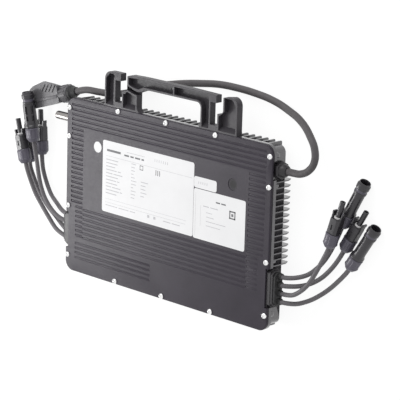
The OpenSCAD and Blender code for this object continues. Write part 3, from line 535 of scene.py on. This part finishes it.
def length_property(text, default):
    return bpy.props.FloatProperty(name=text, description=text, default=default, min=0.0, subtype="DISTANCE",
                                   unit="LENGTH")


class InverterColours(bpy.types.PropertyGroup):
    """Colours of the inverter's finishes."""

    cast: colour_property("Coating of the cast case", (0.05, 0.046, 0.054))
    cover: colour_property("Coating of the pressed cover", (0.04, 0.034, 0.046))
    bracket: colour_property("Plastic of the mounting bracket", (0.05, 0.046, 0.053))
    gland: colour_property("Plastic of the cable glands", (0.02, 0.018, 0.021))
    rubber: colour_property("Rubber of the seals and the boot", (0.02, 0.02, 0.021))
    connector: colour_property("Plastic of the connector bodies", (0.022, 0.02, 0.025))
    nut: colour_property("Plastic of the connector nuts", (0.105, 0.098, 0.128))
    seal: colour_property("Silicone of the seal rings", (0.75, 0.74, 0.74))
    lead: colour_property("Jacket of the panel leads", (0.135, 0.127, 0.136))
    mains: colour_property("Jacket of the mains cord", (0.09, 0.083, 0.087))
    plug: colour_property("Plastic of the mains plug", (0.108, 0.105, 0.113))
    screw: colour_property("Steel of the cover screws", (0.88, 0.88, 0.88))
    antenna: colour_property("Metal of the antenna sleeve", (0.34, 0.325, 0.315))
    label: colour_property("Film of the labels", (0.93, 0.93, 0.94))
    print_dark: colour_property("Dark marks on the labels", (0.16, 0.16, 0.17))
    print_light: colour_property("Light marks on the labels", (0.56, 0.56, 0.58))
    board: colour_property("Lacquer of the circuit board", (0.02, 0.16, 0.06))
    core: colour_property("Ferrite of the transformers and the choke", (0.06, 0.06, 0.065))
    can: colour_property("Sleeves of the capacitors", (0.03, 0.03, 0.09))
    relay: colour_property("Plastic of the relays", (0.03, 0.03, 0.03))
    pad: colour_property("Silicone of the thermal pads", (0.32, 0.34, 0.38))


class InverterSizes(bpy.types.PropertyGroup):
    """Sizes of the finished pieces."""

    lead_diameter: length_property("Diameter of a panel lead", 5.3 * MM)
    mains_diameter: length_property("Diameter of the mains cord", 8.3 * MM)
    cast_round: length_property("Rounding of the cast case's edges", 0.18 * MM)
    cover_round: length_property("Rounding of the cover's edges", 0.2 * MM)
    moulding_round: length_property("Rounding of moulded edges", 0.15 * MM)
    label_corner: length_property("Radius of the labels' corners", 2.6 * MM)


class InverterStage(bpy.types.PropertyGroup):
    """Camera and light of the stage."""

    lens: bpy.props.FloatProperty(
        name="Lens", description="Focal length of the camera", default=196.02, subtype="DISTANCE_CAMERA")
    world_strength: bpy.props.FloatProperty(
        name="World", description="Strength of the even light", default=0.6)
    key_power: bpy.props.FloatProperty(
        name="Key lamp", description="Power of the lamp over the bracket's side", default=10.0, subtype="POWER")
    side_power: bpy.props.FloatProperty(
        name="Side lamp", description="Power of the lamp over the left end", default=3.8, subtype="POWER")


def add_lamp(name, location, target, size, power):
    """A round lamp that points at the target."""
    aim = (Vector(target) - Vector(location)).to_track_quat("-Z", "Y").to_euler()
    bpy.ops.object.light_add(type="AREA", location=location, rotation=aim)
    lamp = bpy.context.object
    lamp.name = name
    lamp.data.shape = "DISK"
    lamp.data.size = size
    lamp.data.energy = power


def seen_rays(nodes, links):
    """1 for the camera's rays and for those that metal and glass send on."""
    rays = nodes.new("ShaderNodeLightPath")
    seen = rays.outputs["Is Camera Ray"]
    for kind in ("Is Glossy Ray", "Is Transmission Ray"):
        larger = nodes.new("ShaderNodeMath")
        larger.operation = "MAXIMUM"
        links.new(seen, larger.inputs[0])
        links.new(rays.outputs[kind], larger.inputs[1])
        seen = larger.outputs[0]
    return seen


def floor_material():
    """White floor that takes a soft shadow and shows white to the camera."""
    material = bpy.data.materials.new("floor_white")
    nodes, links = open_nodes(material)
    nodes.clear()
    output = nodes.new("ShaderNodeOutputMaterial")
    diffuse = nodes.new("ShaderNodeBsdfDiffuse")
    diffuse.inputs["Color"].default_value = (FLOOR_GREY, FLOOR_GREY, FLOOR_GREY, 1.0)
    glow = nodes.new("ShaderNodeEmission")
    glow.inputs["Color"].default_value = WHITE
    glow.inputs["Strength"].default_value = FLOOR_GLOW
    lit = nodes.new("ShaderNodeMixShader")
    lit.inputs[0].default_value = FLOOR_LIT_SHARE
    seen = nodes.new("ShaderNodeMixShader")
    links.new(glow.outputs[0], lit.inputs[1])
    links.new(diffuse.outputs[0], lit.inputs[2])
    links.new(seen_rays(nodes, links), seen.inputs[0])
    links.new(diffuse.outputs[0], seen.inputs[1])
    links.new(lit.outputs[0], seen.inputs[2])
    links.new(seen.outputs[0], output.inputs["Surface"])
    return material


def even_light(strength):
    """Even soft light, with plain white where the camera or a gloss sees past the floor."""
    world = bpy.data.worlds.new("even_light")
    nodes, links = open_nodes(world)
    soft = nodes["Background"]
    soft.inputs["Color"].default_value = WHITE
    soft.inputs["Strength"].default_value = strength
    white = nodes.new("ShaderNodeBackground")
    white.inputs["Color"].default_value = WHITE
    white.inputs["Strength"].default_value = 1.0
    mix = nodes.new("ShaderNodeMixShader")
    links.new(seen_rays(nodes, links), mix.inputs[0])
    links.new(soft.outputs[0], mix.inputs[1])
    links.new(white.outputs[0], mix.inputs[2])
    links.new(mix.outputs[0], nodes["World Output"].inputs["Surface"])
    return world


class INVERTER_OT_stage(bpy.types.Operator):
    """Make the camera, the floor, the lamps and the even light"""

    bl_idname = "inverter.stage"
    bl_label = "Stage"

    def execute(self, context):
        stage = context.scene.inverter_stage
        bpy.ops.object.camera_add(location=CAMERA_PLACE, rotation=CAMERA_AXES.to_euler())
        camera = context.object
        camera.data.lens = stage.lens
        camera.data.sensor_width = SENSOR_WIDTH
        context.scene.camera = camera
        bpy.ops.mesh.primitive_plane_add(size=FLOOR_SIZE, location=(0.0, 0.0, 0.0))
        floor = context.object
        floor.name = "floor"
        floor.data.materials.append(floor_material())
        add_lamp("key_lamp", power=stage.key_power, **KEY_LAMP)
        add_lamp("side_lamp", power=stage.side_power, **SIDE_LAMP)
        context.scene.world = even_light(stage.world_strength)
        context.scene.view_settings.view_transform = "Standard"
        return {"FINISHED"}


def smooth_points(route):
    """The route with one more point between each two of its own, on one smooth curve."""
    points = [Vector(p) * MM for p in route]
    fine = [points[0]]
    for i in range(len(points) - 1):
        before = points[max(i - 1, 0)]
        after = points[min(i + 2, len(points) - 1)]
        middle = (9 * (points[i] + points[i + 1]) - before - after) / 16
        fine += [middle, points[i + 1]]
    return fine


def lay_cord(name, points, diameter, jacket, node):
    """A cord along its points, in place of its CAD node."""
    curve = bpy.data.curves.new(name, "CURVE")
    curve.dimensions = "3D"
    curve.resolution_u = 6
    curve.bevel_depth = diameter * CORD_FIT
    curve.bevel_resolution = 6
    curve.use_fill_caps = True
    spline = curve.splines.new("BEZIER")
    spline.bezier_points.add(len(points) - 1)
    for knot, point in zip(spline.bezier_points, points):
        knot.co = point
        knot.handle_left_type = "AUTO"
        knot.handle_right_type = "AUTO"
    cord = new_object(name, curve)
    set_on_part(cord, jacket, "cord_jacket", node)


class INVERTER_OT_leads(bpy.types.Operator):
    """Lay the eight panel leads along their routes"""

    bl_idname = "inverter.leads"
    bl_label = "Panel leads"

    def execute(self, context):
        diameter = context.scene.inverter_sizes.lead_diameter
        for which, route in LEAD_ROUTES.items():
            lay_cord(f"jacket_{which}", smooth_points(route), diameter, "lead_jacket", f"lead_{which}")
        return {"FINISHED"}


class INVERTER_OT_mains(bpy.types.Operator):
    """Lay the mains cord from its gland to its plug"""

    bl_idname = "inverter.mains"
    bl_label = "Mains cord"

    def execute(self, context):
        diameter = context.scene.inverter_sizes.mains_diameter
        points = [Vector(p) * MM for p in MAINS_ROUTE]
        lay_cord("mains_jacket", points, diameter, "mains_jacket", "ac_cord")
        return {"FINISHED"}


def in_painted_shade_pocket(centre, normal):
    """Whether a face of the case lies between the side ribs, where painted shade darkens it."""
    return (centre.z < RIB_TOP and abs(normal.x) > FACING and within(abs(centre.x), RIB_WALL)
            and abs(centre.y) < RIB_REACH)


class INVERTER_OT_case(bpy.types.Operator):
    """Finish the cast case with its rounded edges and painted shade between its side ribs"""

    bl_idname = "inverter.case"
    bl_label = "Case"

    def execute(self, context):
        width = context.scene.inverter_sizes.cast_round
        case = round_on_part("heatsink_base", "case_casting", width, "cast_coating", "cast_case")
        # Painted shade: the pockets between the side ribs take a darker copy of the cast coating
        paint_faces(case, "rib_coating", in_painted_shade_pocket)
        return {"FINISHED"}


def in_groove(centre):
    """Whether a face of the cover lies in a pressed groove."""
    beside_dimple = math.hypot(centre.x - DIMPLE_PLACE[0], centre.y - DIMPLE_PLACE[1]) > DIMPLE_ROOM
    return (abs(centre.x) < GROOVE_FIELD[0] and abs(centre.y) < GROOVE_FIELD[1] and beside_dimple
            and within(centre.z, GROOVE_HEIGHTS))


def groove_area(centre):
    if centre.y < LOW_AREA:
        return "low"
    if centre.y > TOP_AREA:
        return "top"
    return "left" if centre.x < 0 else "right"


class INVERTER_OT_cover(bpy.types.Operator):
    """Finish the pressed cover with its rounded edges and painted shade in its dimple"""

    bl_idname = "inverter.cover"
    bl_label = "Cover"

    def execute(self, context):
        cover = rounded_copy("cover_plate", "pressed_cover", context.scene.inverter_sizes.cover_round)
        edit_mode(cover)
        for area, share in GROOVE_SHARES.items():
            select_faces(cover, lambda centre, normal: in_groove(centre) and groove_area(centre) == area)
            bpy.ops.transform.resize(value=(1, 1, share), center_override=(0, 0, FRONT_Z * MM))
        object_mode()
        set_on_part(cover, "cover_coating", "cover", "cover_plate")
        # Painted shade in the hollow of the round dimple
        paint_shade_in_dimple(finish("cover_coating"))
        return {"FINISHED"}


class INVERTER_OT_screws(bpy.types.Operator):
    """Model one domed cover screw and copy it to each hole"""

    bl_idname = "inverter.screws"
    bl_label = "Cover screws"

    def execute(self, context):
        profile = [(-11.0, 1.2), (-10.4, 1.7), (-0.4, 1.7), (0.0, 3.4), (0.5, 3.4), (1.1, 3.15), (1.65, 2.75),
                   (2.1, 2.2), (2.3, 1.75), (2.1, 1.6), (0.7, 1.45)]
        master = turned_piece("screw_master", profile)
        smooth(master, math.radians(40))
        upright = Matrix.Rotation(-math.pi / 2, 4, "Y")
        for number, (x, y) in enumerate(SCREW_PLACES, 1):
            place = Matrix.Translation((x * MM, y * MM, FRONT_Z * MM))
            screw = placed_copy(master, f"cover_screw_{number}", place @ upright)
            set_on_part(screw, "screw_metal", "screw_steel", "cover_screws")
        drop(master)
        return {"FINISHED"}


class INVERTER_OT_bracket(bpy.types.Operator):
    """Finish the moulded mounting bracket"""

    bl_idname = "inverter.bracket"
    bl_label = "Bracket"

    def execute(self, context):
        width = context.scene.inverter_sizes.moulding_round
        round_on_part("mounting_bracket", "hook_bracket", width, "bracket_plastic", "bracket")
        return {"FINISHED"}


def axis_of(node):
    """Where a CAD node begins and ends along X, in millimetres, and the move onto its axis."""
    low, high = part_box(node)
    return low[0] / MM, high[0] / MM, Matrix.Translation((0, (low[1] + high[1]) / 2, (low[2] + high[2]) / 2))


def mains_gland_nut():
    """The mains gland's nut: a six-sided part and a dome that grips the cord."""
    seat, tip, move = axis_of("ac_gland_nut")
    edge = seat + GLAND_HEX_LENGTH
    nut = turned_piece("mains_gland_nut", [(seat, 9.6), (seat + 0.7, 10.6), (edge - 0.9, 10.6), (edge, 9.4)], 6)
    apply_modifier(nut, "BEVEL", width=0.3 * MM, segments=2, limit_method="ANGLE", angle_limit=math.radians(25))
    dome = turned_piece("gland_dome", [
        (edge - 1.0, 8.2), (edge + 0.4, 8.2), (edge + 0.8, 7.7), (edge + 3.0, 7.4), (edge + 5.2, 6.3),
        (tip - 0.7, 5.6), (tip, 5.1), (tip, 4.2), (edge + 1.0, 4.2)])
    nut = join_pieces("mains_gland_nut", nut, dome)
    nut.data.transform(move)
    smooth(nut)
    return nut


def antenna_rod():
    """The antenna's sleeve: a turned rod with a rounded end, a shallow groove and a thin seat."""
    end, tail, move = axis_of("antenna_sleeve")
    seat = end + ANTENNA_VISIBLE
    rod = turned_piece("antenna_rod", [
        (end, 3.6), (end + 0.25, 4.3), (end + 0.8, 4.75), (end + 1.6, ANTENNA_RADIUS), (end + 5.0, ANTENNA_RADIUS),
        (end + 5.3, ANTENNA_WAIST), (end + 6.1, ANTENNA_WAIST), (end + 6.4, ANTENNA_RADIUS),
        (seat - 1.2, ANTENNA_RADIUS), (seat - 0.4, ANTENNA_WAIST), (seat, 3.0), (tail, 2.95)])
    rod.data.transform(move)
    smooth(rod)
    return rod


class INVERTER_OT_glands(bpy.types.Operator):
    """Finish the panel lead glands, the mains gland and the antenna sleeve"""

    bl_idname = "inverter.glands"
    bl_label = "Glands and antenna"

    def execute(self, context):
        width = context.scene.inverter_sizes.moulding_round
        for side in ("right", "left"):
            round_on_part(f"dc_gland_frame_{side}", f"lead_gland_{side}", width, "gland_plastic", "gland_plastic")
            finish_node(f"dc_gland_seal_{side}", "soft_rubber")
        round_on_part("ac_gland_body", "mains_gland_body", width, "gland_plastic", "gland_plastic")
        set_on_part(mains_gland_nut(), "gland_plastic", "gland_plastic", "ac_gland_nut")
        set_on_part(antenna_rod(), "antenna_metal", "antenna_metal", "antenna_sleeve")
        round_on_part("antenna_nut", "antenna_lock", width, "antenna_metal", "antenna_metal")
        return {"FINISHED"}


def flat_piece(name):
    """A square of one millimetre, left in edit mode with all of it selected."""
    bpy.ops.mesh.primitive_plane_add(size=MM)
    piece = bpy.context.object
    piece.name = name
    edit_mode(piece)
    return piece


def thicken(piece, height):
    """Give a flat piece its thickness."""
    select_everything()
    bpy.ops.mesh.extrude_region_move(TRANSFORM_OT_translate={"value": (0, 0, height * MM)})
    object_mode()
    tidy_mesh(piece)
    return piece


def label_plate(name, low, high, corner):
    """A thin film with rounded corners."""
    plate = flat_piece(name)
    bpy.ops.transform.resize(value=(high[0] - low[0], high[1] - low[1], 1))
    bpy.ops.transform.translate(value=((low[0] + high[0]) / 2 * MM, (low[1] + high[1]) / 2 * MM, FRONT_Z * MM))
    bpy.ops.mesh.bevel(affect="VERTICES", offset=corner, segments=6)
    return thicken(plate, LABEL_TOP - FRONT_Z)


def printed_marks(name, marks):
    """Thin bars of print, each (left, low, width, height) in millimetres on the labels."""
    piece = flat_piece(name)
    bpy.ops.mesh.delete(type="FACE")
    for left, low, width, height in marks:
        centre = ((left + width / 2) * MM, (low + height / 2) * MM, LABEL_TOP * MM)
        bpy.ops.mesh.primitive_plane_add(size=MM, location=centre)
        bpy.ops.transform.resize(value=(width, height, 1), center_override=centre)
    return thicken(piece, PRINT_TOP - LABEL_TOP)


def word_row(left, top, words, gap, height):
    """A row of plain bars of the given lengths, in place of words."""
    marks = []
    for length in words:
        marks.append((left, top - height, length, height))
        left += length + gap
    return marks


def word_column(left, top, lengths, pitch, height):
    """Plain bars of the given lengths under each other."""
    return [(left, top - height - pitch * row, length, height) for row, length in enumerate(lengths)]


def box_outline(left, low, width, height, line):
    """The four bars round a box."""
    return [(left, low, width, line), (left, low + height - line, width, line), (left, low, line, height),
            (left + width - line, low, line, height)]


def top_left(label):
    """The left and the top edge of a label."""
    low, high = LABEL_PLATES[label][1:]
    return low[0], high[1]


def rating_marks():
    """Plain bars and lines of the rating label, in millimetres: dark marks and light ones."""
    left, top = top_left("rating_plate")
    dark = word_row(left + 36, top - 11.2, (8.0, 5.5, 8.5, 4.0), 2.2, 1.9)
    dark.append((left + 7, top - 12.4, 23.0, 2.6))
    light = [(left + 5.5, top - 18.1, 141.0, 0.35), (left + 40, top - 8.3, 30.0, 0.5)]
    light += [(left + 86 + 3.4 * k, top - 10.6, 0.8, 3.2) for k in range(7)]
    rows = ((20,), (19,), (15,), (18, 5), (11, 15), (20,), (17, 4), (19,), (9, 14), (22, 4), (18,))
    for row, words in enumerate(rows):
        light += word_row(left + 6, top - 21.5 - 4.0 * row, words, 1.6, 1.1)
    light += word_column(left + 48, top - 19.5, (8, 6, 6, 4, 6, 9, 8, 4, 8, 7, 6), 4.0, 0.9)
    light += word_column(left + 64, top - 38.0, (12, 8, 8, 10, 6), 4.2, 0.9)
    light += [(left + 5.5, top - 69.2, 133.0, 0.3), (left + 5.5, top - 73.4, 132.0, 0.3)]
    light += word_row(left + 6, top - 76.2, (20, 17, 9), 2.0, 0.9)
    light += word_row(left + 76, top - 74.8, (3.5, 3.5), 6.5, 3.2)
    light += word_row(left + 102, top - 76.4, (12, 13), 2.0, 1.0)
    dark += box_outline(left + 62, top - 24.6, 5.6, 5.4, 0.8)
    dark += [(left + 88 + 3 * k, top - 26.2, 1.1, 6.2) for k in range(3)]
    return dark, light


def code_marks():
    """Plain bars and lines of the code label and the serial label, in millimetres: dark marks and light ones."""
    left, top = top_left("code_plate")
    dark = word_row(left + 34.5, top - 9.6, (6.5, 7.0), 1.8, 1.6)
    dark += box_outline(left + 55.5, top - 24.6, 9.4, 9.4, 1.6)
    dark.append((left + 58.6, top - 21.6, 3.2, 3.2))
    light = word_row(left + 15, top - 17.6, (9, 12), 2.0, 1.0)
    light += word_column(left + 20, top - 24.5, (9, 12, 30, 22), 5.0, 0.7)
    light += [(left + 11, top - 42.0, 0.3, 24.0), (left + 3.0, top - 54.5, 0.3, 50.0)]
    left, top = top_left("serial_plate")
    light += [(left + 6.9 + 3.2 * k, top - 7.9, 0.8, 2.8) for k in range(5)]
    return dark, light


class INVERTER_OT_labels(bpy.types.Operator):
    """Lay the labels with plain marks in place of their print"""

    bl_idname = "inverter.labels"
    bl_label = "Labels"

    def execute(self, context):
        corner = context.scene.inverter_sizes.label_corner
        for name, (node, low, high) in LABEL_PLATES.items():
            set_on_part(label_plate(name, low, high, corner), "label_film", "label_white", node)
        round_on_part("round_sticker", "round_seal", 0.1 * MM, "label_film", "label_white")
        for name, marks in (("rating", rating_marks()), ("code", code_marks())):
            for ink, bars in zip(("print_dark", "print_light"), marks):
                set_on_part(printed_marks(f"{name}_{ink}", bars), ink, "label_white")
        return {"FINISHED"}


def connector_matrix(which):
    at, turn, tilt = CONNECTOR_PLACES[which]
    return (Matrix.Translation(Vector(at) * MM) @ Matrix.Rotation(math.radians(turn), 4, "Z")
            @ Matrix.Rotation(-math.radians(tilt), 4, "Y"))


def union_nut_master():
    """A union nut with six sunk grip panels."""
    profile = [(0.0, 3.0), (0.0, 5.4), (1.3, 6.2), (4.6, NUT_RADIUS), (15.6, NUT_RADIUS), (17.0, 7.6), (17.0, 5.5),
               (7.1, 5.5), (7.1, 3.0), (0.0, 3.0)]
    nut = turned_piece("nut_master", profile, ring=True)
    edit_mode(nut)
    select_faces(nut, lambda centre, normal: within(centre.x, PANEL_SPAN) and off_axis(centre) > NUT_RADIUS - 0.3
                 and within(turn_of(centre) % 60, PANEL_TURN))
    bpy.ops.mesh.inset(thickness=0.6 * MM, depth=-0.45 * MM, use_individual=False)
    object_mode()
    apply_modifier(nut, "BEVEL", width=0.25 * MM, segments=2, limit_method="ANGLE", angle_limit=math.radians(20))
    smooth(nut)
    return nut


def female_master():
    """A female connector body: flattened barrel with latch windows and a grip ladder, neck and open collar."""
    ladder = [(LADDER_START + k * LADDER_PITCH, 6.5) for k in range(LADDER_STEPS + 1)]
    profile = [(7.2, 5.1), (17.1, 5.1), (17.1, 7.4), (17.8, 7.9), (19.6, 7.9), (21.0, 6.7), (23.5, 6.6), *ladder,
               (46.0, 6.3), (46.6, 7.1), (49.0, 7.2), (NECK_BAND[0], NECK_RADIUS), (NECK_BAND[1], NECK_RADIUS),
               (53.0, 7.5), (57.8, 7.6), (58.3, 6.7), (60.6, 6.45), (61.0, 6.2), (61.0, 5.6), (59.0, 5.3),
               (44.0, 5.1)]
    body = turned_piece("female_master", profile)
    edit_mode(body)
    select_faces(body, lambda centre, normal: within(centre.x, BARREL_SPAN) and off_axis(centre) > BORE_CLEAR)
    bpy.ops.transform.resize(value=(1, BARREL_FLATTENING, 1), center_override=(0, 0, 0))
    select_faces(body, lambda centre, normal: abs(abs(turn_of(centre) - 90) - WINDOW_PLACE) < WINDOW_REACH
                 and off_axis(centre) > SHELL_CLEAR and any(within(centre.x, span) for span in WINDOW_SPANS))
    bpy.ops.mesh.inset(thickness=0.35 * MM, depth=-2.0 * MM, use_individual=False)
    select_faces(body, lambda centre, normal: abs(turn_of(centre) - 270) < LADDER_REACH
                 and off_axis(centre) > SHELL_CLEAR and within(centre.x, (LADDER_START, LADDER_END))
                 and (centre.x - LADDER_START) / LADDER_PITCH % 2 < 1)
    bpy.ops.mesh.inset(thickness=0.1 * MM, depth=-1.1 * MM, use_individual=False)
    select_everything()
    round_sharp_edges(body, 0.12 * MM, math.radians(40))
    object_mode()
    smooth(body)
    return body


def on_neck(place):
    """Whether a place in the connector's own frame lies on the outside of its neck."""
    return within(place.x, NECK_BAND) and off_axis(place) > NECK_RADIUS - 0.5


def seal_ring_master():
    profile = [(35.0, 3.15), (35.0, 4.0), (35.3, 4.3), (36.7, 4.3), (37.0, 4.0), (37.0, 3.15), (35.0, 3.15)]
    ring = turned_piece("ring_master", profile, ring=True)
    smooth(ring)
    return ring


class INVERTER_OT_connectors(bpy.types.Operator):
    """Model the panel connectors once and copy them to the ends of the leads"""

    bl_idname = "inverter.connectors"
    bl_label = "Panel connectors"

    def execute(self, context):
        width = context.scene.inverter_sizes.moulding_round
        nut_master = union_nut_master()
        body_master = female_master()
        ring_master = seal_ring_master()
        for which in CONNECTOR_PLACES:
            matrix = connector_matrix(which)
            nut = placed_copy(nut_master, f"union_nut_{which}", matrix)
            set_on_part(nut, "nut_plastic", "nut_plastic", f"nut_{which}")
            if which in FEMALE:
                roll = Matrix.Rotation(math.radians(FEMALE_ROLL[which.split("_")[0]]), 4, "X")
                body = placed_copy(body_master, f"female_connector_{which}", matrix @ roll)
                set_on_part(body, "connector_plastic", "connector_plastic", f"female_body_{which}")
                inverse = matrix.inverted()
                paint_faces(body, "nut_plastic", lambda centre, normal: on_neck(inverse @ (centre * MM) / MM))
            else:
                round_on_part(f"male_body_{which}", f"male_connector_{which}", width, "connector_plastic",
                              "connector_plastic")
                ring = placed_copy(ring_master, f"seal_ring_{which}", matrix)
                set_on_part(ring, "seal_silicone", "ring_seal", f"ring_{which}")
        for master in (nut_master, body_master, ring_master):
            drop(master)
        return {"FINISHED"}


def plug_clamp_nut():
    """The plug's clamp nut with its grip ribs."""
    profile = [(0.0, 6.9), (0.0, 9.4), (0.8, CLAMP_RADIUS), (11.4, CLAMP_RADIUS), (12.6, 9.2), (13.0, 8.4),
               (13.0, 6.9), (0.0, 6.9)]
    nut = turned_piece("plug_clamp", profile, ring=True)
    edit_mode(nut)
    select_faces(nut, lambda centre, normal: within(centre.x, CLAMP_RIB_SPAN)
                 and off_axis(centre) > CLAMP_RADIUS - 0.4
                 and turn_of(centre) % CLAMP_RIB_PITCH < CLAMP_RIB_PITCH / 2)
    bpy.ops.mesh.inset(thickness=0.25 * MM, depth=0.95 * MM, use_individual=False)
    object_mode()
    smooth(nut)
    return nut


class INVERTER_OT_plug(bpy.types.Operator):
    """Model the mains plug: shell, clamp nut and boot"""

    bl_idname = "inverter.plug"
    bl_label = "Mains plug"

    def execute(self, context):
        width = context.scene.inverter_sizes.moulding_round
        shell = rounded_copy("ac_plug_housing", "plug_shell", width)
        spine = shaped_block("plug_spine", *PLUG_SPINE)
        apply_modifier(spine, "BEVEL", width=0.4 * MM, segments=2)
        spine.data.transform(PLUG_PLACE)
        shell = join_pieces("plug_shell", shell, spine)
        smooth(shell)
        set_on_part(shell, "plug_plastic", "plug_plastic", "ac_plug_housing")
        clamp = plug_clamp_nut()
        clamp.data.transform(PLUG_PLACE)
        set_on_part(clamp, "plug_plastic", "plug_plastic", "ac_plug_nut")
        round_on_part("ac_plug_boot", "plug_boot", width, "soft_rubber", "seal_rubber")
        finish_node("ac_plug_insert", "soft_rubber")
        return {"FINISHED"}


class INVERTER_OT_insides(bpy.types.Operator):
    """Give the gasket and the pieces inside the case their finishes"""

    bl_idname = "inverter.insides"
    bl_label = "Gasket and inner pieces"

    def execute(self, context):
        for node, name in INNER_FINISHES.items():
            finish_node(node, name)
        return {"FINISHED"}


class INVERTER_PT_pieces(bpy.types.Panel):
    """Pieces of the inverter, with their sizes and colours"""

    bl_label = "Microinverter"
    bl_idname = "INVERTER_PT_pieces"
    bl_space_type = "VIEW_3D"
    bl_region_type = "UI"
    bl_category = "Microinverter"

    def draw(self, context):
        layout = self.layout
        for group in (context.scene.inverter_sizes, context.scene.inverter_colours, context.scene.inverter_stage):
            box = layout.box()
            for name in group.__annotations__:
                box.prop(group, name)
        for operator in OPERATORS:
            layout.operator(operator.bl_idname)


# In the order in which main calls them
OPERATORS = (
    INVERTER_OT_stage, INVERTER_OT_glands, INVERTER_OT_connectors, INVERTER_OT_leads, INVERTER_OT_plug,
    INVERTER_OT_mains, INVERTER_OT_case, INVERTER_OT_cover, INVERTER_OT_screws, INVERTER_OT_bracket,
    INVERTER_OT_labels, INVERTER_OT_insides,
)
CLASSES = (InverterColours, InverterSizes, InverterStage, *OPERATORS, INVERTER_PT_pieces)


def register():
    for cls in CLASSES:
        bpy.utils.register_class(cls)
    bpy.types.Scene.inverter_colours = bpy.props.PointerProperty(type=InverterColours)
    bpy.types.Scene.inverter_sizes = bpy.props.PointerProperty(type=InverterSizes)
    bpy.types.Scene.inverter_stage = bpy.props.PointerProperty(type=InverterStage)


def unregister():
    del bpy.types.Scene.inverter_stage
    del bpy.types.Scene.inverter_sizes
    del bpy.types.Scene.inverter_colours
    for cls in reversed(CLASSES):
        bpy.utils.unregister_class(cls)


def main():
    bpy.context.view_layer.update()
    register()
    bpy.ops.inverter.stage()
    bpy.ops.inverter.glands()
    bpy.ops.inverter.connectors()
    bpy.ops.inverter.leads()
    bpy.ops.inverter.plug()
    bpy.ops.inverter.mains()
    bpy.ops.inverter.case()
    bpy.ops.inverter.cover()
    bpy.ops.inverter.screws()
    bpy.ops.inverter.bracket()
    bpy.ops.inverter.labels()
    bpy.ops.inverter.insides()


if __name__ == "__main__":
    main()
